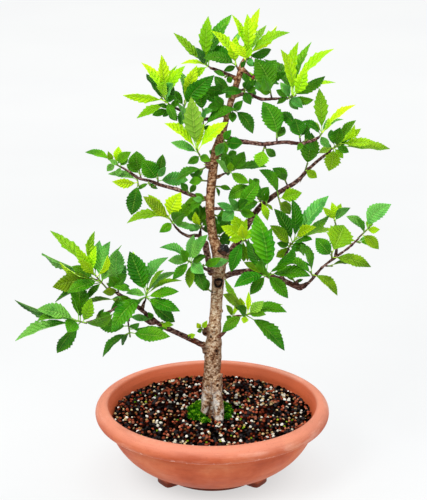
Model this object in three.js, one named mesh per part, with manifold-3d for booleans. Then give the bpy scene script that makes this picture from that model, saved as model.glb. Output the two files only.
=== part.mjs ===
// Medlar bonsai in a round terracotta training pot.
// Millimetres, +Z up. The origin is the centre of the pot's flat underside, and the front of the tree
// faces -Y. The tree is one piece of wood that stands in the soil; each leafy spur is a solid of its own.
import * as THREE from "three";
import { mergeVertices } from "three/addons/utils/BufferGeometryUtils.js";
import Module from "manifold-3d";

const wasm = await Module();
wasm.setup();

// Clearance between pieces that touch.
const GAP = 0.3;

// Pot
const RIM_RADIUS = 135.5;
const RIM_TOP = 88;
const MOUTH_RADIUS = 121;
const BASE_RADIUS = 50;
const FLOOR_TOP = 9;
const POT_SEGMENTS = 40;
const FEET = 3;
const FOOT_RADIUS = 9;
const FOOT_HEIGHT = 9;
const FOOT_CIRCLE = 58;
const DRAIN_RADIUS = 7;
const DRAIN_OFFSET = 30;
const SCREEN_RADIUS = 12;
const SCREEN_THICK = 1;
const SCREEN_HOLE = 4.4;

// Soil
const SOIL_EDGE_RADIUS = 114.5;
const SOIL_EDGE_TOP = 72;
const SOIL_CROWN = 4;
const SOIL_RINGS = 7;
const SOIL_SEGMENTS = 40;
const GRAIN_RELIEF = 2.2;
const PLAIN_RADIUS = 50;
const MOSS_SQUASH = 0.72;

// Wood
const TRUNK_SIDES = 8;
const BRANCH_SIDES = 5;
const TWIG_SIDES = 4;
const TWIG_RADIUS = 2.3;
const KNOT_CENTRES = [
  [-6, -13, 177, 4.8], [-7, -14, 160, 5.6], [5, -19, 158, 2.6], [7, -15, 241, 4.4], [-4, -2, 370, 4],
];
const SEAL_CENTRE = [12.5, -10.5, 275.5];
const SEAL_SIZE = [7.2, 5, 6.4];

// Leafy spurs
const SPUR_SIDES = 4;
const SPUR_RADIUS = 2.5;
const SPUR_PAST = 1.4;
const STALK_RADIUS = 0.55;
const STALK_SHARE = 0.13;
const LONG_STALK_SHARE = 0.16;
const LEAF_HALF_THICK = 0.55;
// Lowest and highest rise of a leaf's middle, as a share of its length, slope of its halves, and
// sideways bend as a share of its length.
const ARCH_SHARE = [0.03, 0.1];
const FOLD = [0.12, 0.38];
const BEND_SHARE = [-0.06, 0.06];
const SHORT_LEAF = 22;
const LONG_LEAF = 40;
// The direction from the tree towards the front, and a little up, that open leaves face.
const FRONT = new THREE.Vector3(0, -0.953, 0.304);

const COLOURS = {
  terracotta: [0xc9714f, 0.85],
  soil: [0x3a2a22, 0.95],
  moss: [0x4d6b1c, 1.0],
  bark: [0x6b4c3a, 0.8],
  seal: [0x101010, 0.35],
  mesh: [0x1d1d1d, 0.6],
  leaf: [0x3f7d1e, 0.5],
};

// The trunk's middle line from inside the soil to the leader, and its radius at each point.
const TRUNK = [
  [1, -9, 61], [0, -9, 88], [0, -10, 124], [1, -10, 155], [3, -10, 186], [5, -9, 215], [7, -7, 241],
  [8, -6, 260], [5, -5, 276], [1, -3, 288], [-2, -1, 310], [-2, 0, 332], [0, 1, 355], [3, 1, 381],
  [8, 1, 397], [13, 0, 412], [17, 0, 428], [21, -1, 444], [25, -2, 457], [29, -4, 470], [32, -5, 482],
  [35, -6, 489],
];
const TRUNK_RADII = [
  6.2, 7.2, 9.2, 9.7, 7.2, 6.8, 7.3, 7.6, 6.7, 5.2, 5, 5.1, 5.2, 5, 5, 3.8, 3.2, 3.7, 3.7, 3.4, 2.9, 2.5,
];

// Roots, branches, twigs and thorns: points, radius at the start, radius at the end.
const BRANCHES = {
  root_left: [[[-3, -10, 126], [-5, -13, 107], [-7, -15, 93], [-9, -16, 81]], 7.4, 4.4],
  root_right: [[[4, -12, 124], [5, -18, 104], [7, -22, 89], [8, -25, 75]], 7.4, 5.6],
  root_back: [[[2, -6, 119], [4, 2, 98], [8, 9, 80], [11, 15, 67]], 7.3, 3.8],
  low_left: [[[-1, -14, 158], [-10, -18, 164], [-31, -26, 178], [-52, -33, 191], [-64, -38, 201],
    [-79, -42, 216], [-92, -45, 229], [-103, -48, 236], [-114, -51, 244]], 3.8, 1.5],
  low_left_stub: [[[-62, -38, 200], [-69, -40, 199], [-74, -42, 203]], 2.5, 1.8],
  low_left_front: [[[-91, -45, 227], [-100, -52, 225], [-109, -60, 222], [-120, -68, 218],
    [-127, -72, 215], [-137, -76, 213]], 1.9, 1.2],
  low_left_drop: [[[-84, -44, 220], [-90, -56, 218], [-91, -68, 212]], 1.7, 1.2],
  low_left_spur: [[[-78, -42, 215], [-76, -40, 222], [-74, -39, 226]], 1.9, 1.3],
  front_twig: [[[4, -10, 249], [-5, -27, 257], [-13, -34, 264], [-21, -38, 268]], 2, 1.5],
  side_stub: [[[1, -10, 247], [-3, -12, 260], [-6, -12, 273], [-7, -12, 284]], 4.5, 3.2],
  side_stem: [[[3, -8, 251], [-5, -8, 265], [-9, -4, 279], [-15, -2, 289], [-26, 0, 288], [-35, -2, 293],
    [-42, -4, 301]], 3.1, 1.5],
  side_stem_fork: [[[-14, -2, 288], [-13, 8, 292]], 1.9, 1.3],
  left: [[[-1, 2, 331], [-10, 8, 330], [-24, 15, 332], [-38, 21, 336], [-57, 26, 340], [-71, 27, 345],
    [-83, 27, 348], [-94, 27, 356], [-102, 27, 361]], 2.9, 1.3],
  upper_left_low: [[[2, 3, 368], [-6, -8, 375], [-12, -18, 382]], 2.1, 1.6],
  upper_left: [[[17, 2, 429], [9, 2, 426], [0, 0, 423], [-11, -2, 423], [-24, -3, 429], [-37, -4, 434],
    [-46, -6, 439]], 2.5, 1.5],
  top_left: [[[29, -3, 466], [18, 6, 470], [6, 12, 474], [-2, 15, 476]], 2.4, 1.6],
  top_left_short: [[[31, -6, 477], [28, 4, 478]], 1.8, 1.5],
  top_right_short: [[[32, -6, 480], [38, -9, 475], [44, -10, 470]], 1.9, 1.5],
  upper_right: [[[22, 0, 448], [30, -6, 451], [41, -12, 452], [53, -16, 448], [65, -20, 449],
    [81, -22, 450]], 2.6, 1.5],
  right: [[[11, 3, 406], [17, -3, 402], [29, -10, 400], [43, -18, 400], [57, -24, 400], [78, -32, 404],
    [95, -38, 404], [105, -40, 407], [114, -44, 412]], 3.2, 1.6],
  right_long: [[[11, -6, 260], [20, 2, 267], [28, 8, 278], [39, 12, 296], [48, 15, 310], [57, 18, 320],
    [72, 21, 331], [88, 24, 340], [98, 26, 347], [107, 28, 357], [119, 32, 367], [133, 34, 378]], 4.7, 1.6],
  low_right: [[[8, -9, 240], [19, -16, 248], [27, -21, 252], [41, -28, 256], [55, -36, 257],
    [67, -40, 253], [80, -45, 250], [88, -48, 247], [95, -51, 245], [101, -54, 248]], 3.4, 3.1],
  low_right_shoot: [[[97, -52, 246], [103, -54, 249], [110, -56, 257], [120, -57, 270], [133, -60, 282],
    [147, -63, 294], [158, -66, 306]], 2, 1.3],
  low_right_spur: [[[78, -45, 251], [77, -34, 260], [80, -27, 270], [85, -21, 280]], 1.8, 1.3],
  low_right_fork: [[[134, -60, 283], [137, -40, 293], [138, -26, 303]], 1.7, 1.2],
  front_low: [[[5, -14, 172], [12, -28, 182], [17, -44, 198], [23, -52, 210], [31, -60, 215]], 2.5, 1.6],
  middle_right: [[[-4, 0, 320], [5, -10, 323], [14, -18, 326], [22, -24, 326]], 2.4, 1.5],
  middle_stub: [[[0, 3, 354], [8, 6, 356], [13, 9, 358]], 2, 1.5],
  middle_back: [[[-1, -2, 300], [5, 20, 292], [10, 38, 283]], 2.1, 1.5],
  upper_back: [[[25, -2, 455], [32, 20, 450], [38, 34, 450]], 2, 1.5],
  trunk_back: [[[4, 3, 384], [9, 20, 378], [12, 34, 370]], 2, 1.5],
};

// The bumps of the moss: place on the soil and radius.
const MOSS_BUMPS = [
  [-18, -17, 12], [-20, -2, 11], [-8, -31, 7], [-12, 10, 12],
  [2, 14, 12], [14, 8, 10], [17, -6, 9], [17, -20, 7],
];

// The pot's inside, from the mouth down to the floor: radius and height.
const CAVITY = [
  [115.5, 78], [115, 72], [108, 49], [97, 33], [84, 21], [50, FLOOR_TOP],
];

// Leafy spurs. Each has the points of its stem, and its leaves: share of the stem, bearing in the front
// view from +X in degrees, lean to the front in degrees, length, width, the turn of the face up to the
// sky in degrees, and for some the sideways bend as a share of the length, to the left of the way it
// points if above zero. The others have a drawn bend.
const SPURS = {
  low_left_tip: [[[-116, -51, 244], [-131, -54, 264]], [
    [0.85, 141, -25, 71, 21, 60, -0.05], [0.8, 170, -35, 77, 29, -75, -0.07], [0.5, 151, 10, 49, 15, -70],
    [0.4, 183, 11, 53, 22, -15], [1, 87, -27, 45, 13, -50, 0.16], [0.9, 118, 12, 39, 12, 0],
    [0.8, 121, 35, 36, 11, 0], [0.95, 82, 5, 32, 10, 35], [0.7, 66, 30, 39, 12, -60],
    [0.5, 74, 0, 46, 17, 30], [0.8, 83, -35, 40, 15, 35], [0.35, 57, -44, 52, 18, 75],
    [0.5, 184, 49, 49, 15, 30], [0.35, 200, 14, 55, 21, 75, -0.14], [0.35, 223, 40, 26, 10, 40],
  ]],
  low_left_middle: [[[-103, -48, 236], [-104, -51, 252]], [
    [0.9, 91, -22, 37, 19, 0], [0.8, 113, 3, 23, 10, 0],
  ]],
  low_left_front: [[[-138, -77, 213], [-147, -81, 217]], [
    [0.9, 163, -7, 72, 27, -75, 0], [0.95, 154, 22, 49, 19, 40, -0.08], [0.8, 165, 35, 52, 20, 75, -0.05],
    [0.7, 194, 12, 72, 28, 70, 0.03], [0.5, 234, -5, 47, 18, -40, 0], [0.6, 95, -21, 43, 20, 15],
    [0.8, 104, 8, 39, 15, 75], [0.35, 71, 16, 35, 14, 0, -0.06], [0.35, 25, 26, 42, 16, -50],
  ]],
  low_left_drop: [[[-92, -68, 211], [-90, -76, 200]], [
    [0.9, 1, 18, 47, 18, 30], [0.6, 357, -12, 41, 16, -55], [0.9, 222, 8, 40, 15, 55],
    [0.35, 178, -12, 37, 16, 0, 0.04],
  ]],
  low_left_spur: [[[-74, -39, 226], [-72, -38, 236]], [
    [0.5, 107, 12, 59, 22, 5], [0.9, 111, -22, 48, 14, -50, -0.12], [0.95, 58, -8, 45, 17, 45, 0.14],
    [0.8, 59, 25, 42, 13, 70], [0.7, 29, -30, 44, 17, 60, 0.14], [0.6, 21, -5, 42, 13, 65, 0.05],
    [0.35, 16, 18, 40, 15, 45, 0.08], [0.35, 347, 30, 45, 17, 40, -0.07],
    [0.35, 314, -10, 46, 18, 35, -0.08], [0.5, 159, 35, 28, 11, 45], [0.35, 209, 56, 71, 20, 5, -0.08],
    [0.35, 218, 50, 37, 14, 55],
  ]],
  front_rosette: [[[-21, -38, 268], [-26, -44, 273]], [
    [0.8, 155, -5, 36, 14, 50, -0.14], [0.9, 168, 28, 26, 11, 0, -0.06], [0.7, 81, -18, 30, 11, 15],
    [0.5, 62, 15, 41, 15, 40], [0.8, 222, 30, 28, 11, 20], [0.4, 266, 15, 28, 11, 20],
    [0.35, 294, 12, 34, 14, 0], [1, 112, 45, 30, 12, 30],
  ]],
  front_trunk_pair: [[[-11, -33, 261], [-10, -39, 266]], [
    [0.9, 34, 26, 26, 9, 0], [1, 12, -2, 29, 11, 25],
  ]],
  side_stem_tip: [[[-42, -5, 302], [-48, -8, 312]], [
    [0.7, 135, 12, 43, 16, 35], [0.9, 136, -25, 37, 11, -25], [1, 67, 20, 38, 19, 0, 0.05],
    [0.8, 181, 15, 49, 15, 45, -0.12], [0.35, 47, 42, 28, 16, 0], [0.5, 44, -12, 34, 13, 0],
    [0.35, 353, 30, 31, 12, 50],
  ]],
  side_stem_fork: [[[-13, 8, 292], [-13, 10, 297]], [
    [0.8, 112, -32, 32, 15, 0], [0.7, 104, 38, 31, 9, -15], [0.9, 93, 10, 28, 11, 50],
  ]],
  left_tip: [[[-103, 27, 361], [-113, 27, 368]], [
    [1, 165, -15, 32, 12, 45, -0.1], [0.35, 47, 20, 25, 11, 0, 0.08],
  ]],
  left_outer: [[[-85, 27, 350], [-83, 18, 344]], [
    [0.9, 258, 8, 37, 18, 0], [0.8, 170, 28, 32, 11, 0, 0.06], [0.5, 172, -15, 35, 13, 50],
  ]],
  left_middle: [[[-80, 28, 347], [-82, 34, 353]], [
    [0.9, 98, -8, 25, 20, 0], [0.7, 154, -40, 23, 9, 0],
  ]],
  left_inner: [[[-61, 25, 342], [-61, 21, 352]], [
    [0.5, 124, 10, 30, 20, 0], [0.9, 77, -12, 26, 11, 0], [0.35, 358, -15, 35, 16, 0],
  ]],
  upper_left_low: [[[-12, -18, 383], [-16, -26, 393]], [
    [0.9, 96, 12, 65, 21, 0], [0.8, 134, 22, 55, 17, 50, -0.05], [0.9, 48, 18, 51, 15, 20, 0.06],
    [0.7, 159, -2, 32, 12, 35], [1, 115, -21, 58, 22, 65, 0.06], [0.9, 76, -22, 31, 9, 20],
  ]],
  trunk_left_upper: [[[-6, -5, 370], [-10, -8, 368]], [
    [0.9, 203, 10, 33, 13, 40, -0.1], [0.6, 222, -13, 16, 8, 0],
  ]],
  trunk_left_middle: [[[-6, -3, 353], [-10, -6, 354]], [
    [0.9, 185, 10, 16, 10, 0, -0.06], [0.6, 159, -20, 19, 7, 20],
  ]],
  upper_left_tip: [[[-47, -6, 440], [-52, -9, 448]], [
    [0.9, 124, -12, 46, 14, 45, -0.05], [0.95, 93, 8, 49, 15, 35], [1, 84, 40, 28, 14, 30],
    [0.8, 60, 12, 45, 13, 20, 0.06], [1, 67, -22, 38, 12, 55], [0.8, 132, -35, 38, 15, 55, 0.12],
    [0.5, 169, 15, 49, 15, -55], [0.35, 203, 28, 40, 12, 35, 0], [0.35, 300, 42, 26, 10, 10],
    [0.35, 73, 45, 38, 15, 55],
  ]],
  upper_left_inner: [[[-31, -4, 432], [-30, -2, 440]], [
    [0.7, 99, -22, 39, 14, 40, -0.08], [0.8, 72, -8, 45, 14, 0], [0.4, 51, 22, 56, 20, -25, 0.1],
    [0.6, 134, -38, 26, 10, 0],
  ]],
  upper_left_base: [[[-10, -2, 425], [-10, -8, 433]], [
    [0.9, 96, 12, 33, 15, 0], [0.35, 2, -31, 42, 15, 55, 0.04],
  ]],
  trunk_upper_left: [[[15, -3, 437], [11, -8, 440]], [
    [0.7, 142, -10, 30, 13, 0], [0.35, 128, 42, 25, 10, 0],
  ]],
  trunk_upper_right: [[[21, -3, 433], [24, -9, 434]], [
    [0.8, 311, 15, 33, 14, 0, 0.12], [0.6, 53, 38, 22, 9, 0],
  ]],
  top_left_tip: [[[-3, 15, 477], [-7, 18, 479]], [
    [0.9, 134, 8, 51, 15, 45], [1, 87, 5, 54, 16, 15, 0], [0.9, 117, 32, 29, 11, 35],
    [0.5, 178, -10, 30, 9, 50, -0.12], [0.35, 211, 28, 27, 10, 0], [0.35, 64, -22, 63, 24, 50, 0],
  ]],
  top_short: [[[27, 5, 479], [26, 10, 481]], [
    [0.7, 125, 10, 48, 14, 40, -0.08], [1, 90, 28, 38, 14, 0], [0.9, 77, -38, 47, 18, 65],
    [0.5, 153, -33, 41, 19, 0, 0], [0.35, 164, 14, 39, 15, 35, -0.1],
  ]],
  top_tip: [[[36, -8, 490], [39, -10, 496]], [
    [0.9, 92, 15, 47, 15, 15, 0], [1, 76, -12, 50, 15, 40, -0.03], [0.9, 55, -27, 39, 11, 40],
    [0.8, 42, -23, 46, 13, -55, 0], [0.6, 31, 10, 53, 16, 45, 0.08], [0.5, 9, -35, 33, 12, -40],
    [0.8, 111, 12, 49, 15, 55, 0.05],
  ]],
  top_right_short: [[[44, -11, 470], [51, -13, 467]], [
    [0.9, 47, -20, 30, 15, 0], [0.9, 19, 5, 31, 12, -35], [0.8, 343, -35, 30, 11, 50],
  ]],
  upper_right_middle: [[[64, -20, 451], [62, -27, 460]], [
    [0.4, 114, 8, 44, 24, 0, -0.09], [0.8, 109, 59, 57, 13, -5],
  ]],
  upper_right_inner: [[[35, -11, 454], [35, -16, 458]], [
    [0.5, 21, 24, 15, 8, -10], [0.35, 175, 22, 27, 10, 15],
  ]],
  upper_right_tip: [[[81, -23, 450], [87, -26, 453]], [
    [0.8, 104, 16, 58, 15, 35, -0.04], [0.8, 84, -5, 59, 18, 50], [0.9, 69, -25, 64, 19, 60],
    [1, 74, 37, 53, 14, 5], [0.9, 51, 5, 68, 20, 60, 0.08], [0.8, 37, 20, 45, 17, -50, 0.06],
    [0.8, 16, -12, 50, 15, 60, 0.02], [0.6, 359, 24, 26, 11, -40], [0.35, 127, -38, 56, 21, 40, -0.16],
  ]],
  right_inner: [[[70, -29, 404], [70, -22, 410]], [
    [0.5, 111, 5, 44, 23, 0], [0.4, 53, -35, 17, 9, 0],
  ]],
  right_under: [[[57, -24, 398], [56, -26, 395]], [
    [1, 254, 30, 21, 17, 0], [0.6, 320, -20, 18, 9, 0],
  ]],
  right_middle: [[[95, -38, 406], [94, -34, 412]], [
    [0.6, 105, -3, 22, 18, 0], [0.9, 133, -38, 36, 14, -45, -0.2],
  ]],
  right_tip: [[[114, -44, 412], [118, -45, 418]], [
    [0.8, 94, -8, 48, 15, 0], [0.9, 44, 12, 48, 14, 60, 0.05], [0.5, 139, 25, 30, 11, 40, -0.03],
    [0.7, 27, -28, 31, 12, 55, 0.1],
  ]],
  right_long_tip: [[[133, 34, 379], [143, 36, 386]], [
    [0.7, 84, 28, 27, 15, 15], [0.9, 58, 12, 35, 13, 45], [1, 62, 38, 39, 12, -55],
    [1, 30, -22, 31, 9, 0], [0.9, 7, 19, 44, 13, 35, 0.06], [0.7, 355, -5, 61, 23, 60],
    [0.35, 256, 30, 28, 19, 0],
  ]],
  right_long_outer: [[[104, 27, 355], [106, 20, 365]], [
    [0.8, 84, 12, 42, 21, 0], [0.35, 329, 20, 16, 10, 0],
  ]],
  right_long_upper: [[[85, 23, 340], [81, 21, 349]], [
    [0.35, 132, 1, 24, 13, 0, -0.15], [0.9, 114, 40, 14, 9, 0],
  ]],
  right_long_lower: [[[74, 20, 330], [76, 14, 323]], [
    [0.5, 20, 15, 28, 16, 0], [0.35, 122, 18, 45, 15, 35, -0.14],
  ]],
  right_long_inner: [[[56, 17, 322], [52, 8, 329]], [
    [0.4, 191, 20, 30, 13, 0], [0.7, 114, 6, 29, 11, 0],
  ]],
  middle_stub: [[[14, 9, 358], [22, 11, 361]], [
    [0.9, 55, -12, 26, 14, 0], [1, 8, 5, 39, 15, 50, 0.05], [0.7, 334, 25, 26, 11, 0],
    [0.35, 123, 37, 29, 10, 50],
  ]],
  trunk_bright_leaf: [[[12, -3, 399], [15, -9, 398]], [
    [0.4, 1, 29, 23, 14, 0], [0.6, 236, 28, 19, 10, 0],
  ]],
  middle_right: [[[22, -24, 326], [29, -28, 326]], [
    [0.8, 56, 8, 43, 16, 0], [0.8, 58, 48, 32, 12, 35],
  ]],
  front_lime: [[[33, 5, 287], [35, -22, 290]], [
    [0.9, 147, 3, 30, 13, 0], [0.8, 117, -10, 31, 14, 0], [1, 97, 48, 41, 12, 0],
    [0.9, 83, 22, 31, 9, 35], [0.8, 249, 12, 39, 15, 25, 0], [0.6, 273, -15, 31, 10, 0],
    [0.7, 312, 30, 36, 14, 55],
  ]],
  low_right_rosette: [[[57, -37, 256], [61, -50, 258]], [
    [0.6, 99, 10, 76, 29, -35, -0.04], [0.4, 82, -15, 52, 20, 45], [0.8, 55, 25, 56, 21, -60],
    [0.9, 7, 22, 50, 19, 45, 0.04], [0.6, 318, 28, 36, 14, 0, 0.05], [0.7, 228, 15, 28, 12, 0],
    [0.8, 192, 25, 41, 15, 30, -0.06], [0.5, 154, -19, 28, 11, 35], [0.6, 117, -12, 45, 17, -65],
    [1, 104, 50, 51, 19, -60],
  ]],
  low_right_spur: [[[85, -21, 281], [92, -16, 289]], [
    [0.9, 94, 5, 49, 19, 45], [1, 52, -10, 61, 23, 50, 0], [0.9, 41, 12, 51, 19, -60, 0.03],
    [1, 45, 38, 39, 12, 30], [0.8, 9, -22, 51, 15, 60, 0.05], [0.7, 28, 48, 33, 13, 60],
    [0.6, 119, -12, 43, 16, 30, -0.03], [0.35, 133, 15, 36, 14, 25], [0.35, 228, -25, 26, 10, 0],
    [0.5, 308, -35, 30, 11, 45],
  ]],
  low_right_middle: [[[110, -59, 260], [107, -69, 268]], [
    [0.7, 110, 10, 39, 15, 50, -0.1], [0.6, 323, 18, 36, 14, 40, 0.12],
    [0.35, 152, -22, 36, 14, 50, -0.06],
  ]],
  low_right_outer: [[[130, -60, 280], [129, -68, 290]], [
    [0.5, 131, -3, 27, 17, 0], [0.35, 351, 18, 44, 17, 40, 0.08], [0.9, 59, -44, 39, 31, 0],
  ]],
  low_right_tip: [[[158, -66, 307], [167, -68, 317]], [
    [1, 51, 8, 38, 18, 0, 0.14], [0.7, 142, -12, 26, 10, 15, -0.1], [0.6, 117, 35, 27, 10, 45],
  ]],
  low_right_fork: [[[138, -25, 303], [135, -16, 313]], [
    [0.9, 129, 22, 24, 8, 0], [0.7, 47, 7, 24, 9, 0, 0.15],
  ]],
  front_low: [[[31, -60, 215], [40, -66, 219]], [
    [0.9, 9, 15, 44, 17, 50, 0.1], [0.7, 8, -22, 44, 13, 60, 0.05], [0.6, 319, 12, 58, 22, 45, 0.1],
    [1, 13, 35, 23, 10, 40], [1, 51, 25, 28, 12, 0], [0.7, 119, 48, 32, 12, 35],
    [0.4, 122, 40, 57, 14, 45], [0.5, 118, -5, 46, 14, -55, -0.08], [0.35, 214, 22, 30, 12, 0],
  ]],
  trunk_low_sprout: [[[-10, -22, 183], [-12, -28, 188]], [
    [0.9, 124, 15, 10, 6, 0], [1, 61, 20, 14, 6, 0],
  ]],
  middle_back: [[[10, 38, 282], [14, 46, 280]], [
    [0.5, 222, -45, 33, 12, 40], [0.9, 98, -60, 35, 13, -45],
  ]],
  upper_back: [[[38, 35, 450], [42, 44, 451]], [
    [0.9, 49, -15, 24, 11, 0], [0.9, 356, -35, 26, 10, 0],
  ]],
  trunk_back: [[[12, 35, 369], [16, 44, 368]], [
    [0.8, 277, -25, 27, 10, -30], [0.5, 221, -55, 51, 15, 55],
  ]],
};

// A closed geometry as a solid.
function solidOf(geometry) {
  const bare = geometry.clone();
  bare.deleteAttribute("normal");
  bare.deleteAttribute("uv");
  const merged = mergeVertices(bare, 1e-4);
  return new wasm.Manifold(
    new wasm.Mesh({
      numProp: 3,
      vertProperties: new Float32Array(merged.attributes.position.array),
      triVerts: new Uint32Array(merged.index.array),
    }),
  );
}

// The largest body of a solid: loose scraps are dropped.
function largest(solid) {
  return solid.decompose().reduce((best, part) => (part.volume() > best.volume() ? part : best));
}

function geometryOf(solid) {
  const mesh = solid.getMesh();
  const geometry = new THREE.BufferGeometry();
  geometry.setAttribute("position", new THREE.BufferAttribute(new Float32Array(mesh.vertProperties), 3));
  geometry.setIndex(new THREE.BufferAttribute(new Uint32Array(mesh.triVerts), 1));
  const flat = geometry.toNonIndexed();
  flat.computeVertexNormals();
  return flat;
}

const tree = new THREE.Group();

function addPiece(name, solid, colour) {
  const [tint, roughness] = COLOURS[colour];
  const material = new THREE.MeshStandardMaterial({ color: tint, roughness, metalness: 0 });
  const mesh = new THREE.Mesh(geometryOf(solid), material);
  mesh.name = name;
  tree.add(mesh);
}

function lathe(points, segments) {
  const profile = points.map(([r, z]) => new THREE.Vector2(r, z));
  return new THREE.LatheGeometry(profile, segments).rotateX(Math.PI / 2);
}

function disc(radius, bottom, top, x, y, segments = 16) {
  const geometry = new THREE.CylinderGeometry(radius, radius, top - bottom, segments);
  return solidOf(geometry.rotateX(Math.PI / 2).translate(x, y, (bottom + top) / 2));
}

const ALMOST_NOTHING = 0.04;

// A round rod through points with a radius at each: a cylinder's rings are moved onto the path.
function rod(points, radii, sides) {
  const path = points.map((p) => new THREE.Vector3(...p));
  const last = path.length - 1;
  const rings = [];
  let across = new THREE.Vector3(0, -1, 0);
  path.forEach((centre, k) => {
    const ahead = path[Math.min(k + 1, last)].clone().sub(centre).normalize();
    const behind = centre.clone().sub(path[Math.max(k - 1, 0)]).normalize();
    const along = ahead.add(behind).normalize();
    across = across.clone().addScaledVector(along, -across.dot(along));
    if (across.lengthSq() < ALMOST_NOTHING) across.set(1, 0, 0).addScaledVector(along, -along.x);
    across.normalize();
    rings.push({ centre, across, beside: along.clone().cross(across), radius: radii[k] });
  });
  const geometry = new THREE.CylinderGeometry(1, 1, last, sides, last);
  const place = geometry.attributes.position;
  for (let i = 0; i < place.count; i += 1) {
    const ring = rings[Math.round(place.getY(i) + last / 2)];
    const point = ring.centre.clone();
    point.addScaledVector(ring.across, place.getZ(i) * ring.radius);
    point.addScaledVector(ring.beside, place.getX(i) * ring.radius);
    place.setXYZ(i, point.x, point.y, point.z);
  }
  return solidOf(geometry);
}

// Radii that shrink evenly from one end of a path to the other.
function taper(points, first, last, grow) {
  return points.map((_, k) => first + ((last - first) * k) / (points.length - 1) + grow);
}

// All the wood: the trunk, its roots, the branches, twigs and thorns, grown on every side by `grow`.
function wood(grow) {
  let body = rod(TRUNK, TRUNK_RADII.map((r) => r + grow), TRUNK_SIDES);
  for (const [points, first, last] of Object.values(BRANCHES)) {
    const sides = first < TWIG_RADIUS ? TWIG_SIDES : BRANCH_SIDES;
    body = body.add(rod(points, taper(points, first, last, grow), sides));
  }
  for (const [x, y, z, size] of KNOT_CENTRES) {
    body = body.add(solidOf(new THREE.DodecahedronGeometry(size + grow).translate(x, y, z)));
  }
  return body;
}

function pot() {
  const shell = [
    [0, 0], [BASE_RADIUS, 0], [72, 8], [92.5, 21], [110, 41], [121.3, 66],
    [131, 66.5], [RIM_RADIUS, 74], [134, 83], [128, RIM_TOP], [MOUTH_RADIUS, RIM_TOP],
    ...CAVITY, [0, FLOOR_TOP],
  ];
  let body = solidOf(lathe(shell, POT_SEGMENTS));
  for (let k = 0; k < FEET; k += 1) {
    const turn = Math.PI / 2 + (k * 2 * Math.PI) / FEET;
    const [x, y] = [FOOT_CIRCLE * Math.cos(turn), FOOT_CIRCLE * Math.sin(turn)];
    body = body.add(disc(FOOT_RADIUS, 0, FOOT_HEIGHT, x, y, 12));
  }
  for (const side of [-1, 1]) {
    body = body.subtract(disc(DRAIN_RADIUS, -1, FLOOR_TOP + 1, side * DRAIN_OFFSET, 0));
  }
  return body;
}

// A plastic mesh pad over a drain hole: a thin disc with four square holes.
function screen(x) {
  let body = disc(SCREEN_RADIUS, FLOOR_TOP + GAP, FLOOR_TOP + GAP + SCREEN_THICK, x, 0, 12);
  for (const [i, j] of [[-1, -1], [-1, 1], [1, -1], [1, 1]]) {
    const hole = new THREE.BoxGeometry(SCREEN_HOLE, SCREEN_HOLE, 6 * SCREEN_THICK);
    const step = 0.75 * SCREEN_HOLE;
    body = body.subtract(solidOf(hole.translate(x + i * step, j * step, FLOOR_TOP)));
  }
  return body;
}

// Height of one grain bump, from -1 to 1, for a ring and a segment of the soil's surface.
function grain(ring, segment) {
  const wave = Math.sin(ring * 127.1 + segment * 311.7) * 43758.5453;
  return 2 * (wave - Math.floor(wave)) - 1;
}

function soilTop(radius) {
  return SOIL_EDGE_TOP + SOIL_CROWN * (1 - (radius / SOIL_EDGE_RADIUS) ** 2);
}

function soil(grownWood) {
  const side = CAVITY.slice(2).map(([r, z]) => [r - 1.5 * GAP, z + 1.2 * GAP]).reverse();
  const top = [];
  for (let k = SOIL_RINGS; k >= 0; k -= 1) {
    const r = (SOIL_EDGE_RADIUS * k) / SOIL_RINGS;
    top.push([r, soilTop(r)]);
  }
  const geometry = lathe([[0, FLOOR_TOP + GAP], ...side, ...top], SOIL_SEGMENTS);
  const place = geometry.attributes.position;
  for (let i = 0; i < place.count; i += 1) {
    const r = Math.hypot(place.getX(i), place.getY(i));
    const onTop = Math.abs(place.getZ(i) - soilTop(r)) < 0.01;
    if (onTop && r > PLAIN_RADIUS && r < SOIL_EDGE_RADIUS - 1) {
      const turn = Math.atan2(place.getY(i), place.getX(i)) / (2 * Math.PI);
      const segment = Math.round((turn + 1) * SOIL_SEGMENTS) % SOIL_SEGMENTS;
      const bump = GRAIN_RELIEF * grain(Math.round((r * SOIL_RINGS) / SOIL_EDGE_RADIUS), segment);
      place.setZ(i, place.getZ(i) + bump);
    }
  }
  let body = solidOf(geometry).subtract(grownWood);
  for (const x of [-DRAIN_OFFSET, DRAIN_OFFSET]) {
    body = body.subtract(disc(SCREEN_RADIUS + GAP, FLOOR_TOP, FLOOR_TOP + SCREEN_THICK + 2 * GAP, x, 0));
  }
  return largest(body);
}

// A cushion of moss round the back and sides of the trunk: bumpy balls, cut off flat on the soil.
function moss(grownWood) {
  const level = soilTop(0) + GAP;
  const [first, ...others] = MOSS_BUMPS.map(([x, y, size]) => {
    const ball = new THREE.DodecahedronGeometry(size).scale(1, 1, MOSS_SQUASH);
    return solidOf(ball.translate(x, y, level));
  });
  const mound = others.reduce((sum, ball) => sum.add(ball), first);
  const below = disc(SOIL_EDGE_RADIUS, 0, level, 0, 0);
  return largest(mound.subtract(below).subtract(grownWood));
}

function seal(grownWood) {
  const ball = new THREE.IcosahedronGeometry(1, 1).scale(...SEAL_SIZE).translate(...SEAL_CENTRE);
  return largest(solidOf(ball).subtract(grownWood));
}

// Seeded draws from 0 to 1, in the order of the leaves.
let seed = 20417;
function draw() {
  seed = (seed * 1664525 + 1013904223) % 4294967296;
  return seed / 4294967296;
}

function drawIn([low, high]) {
  return low + (high - low) * draw();
}

// Where the teeth and notches of a leaf's edge are: share of the blade's length, share of its half width.
const EDGES = {
  short: [[0.28, 0.8], [0.6, 1], [0.67, 0.74]],
  middle: [[0.24, 0.74], [0.52, 1], [0.59, 0.84], [0.8, 0.6]],
  long: [[0.18, 0.64], [0.45, 1], [0.52, 0.88], [0.7, 0.84], [0.76, 0.62]],
};
const RIBS = { short: [0.5], middle: [0.5], long: [0.34, 0.7] };

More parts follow.
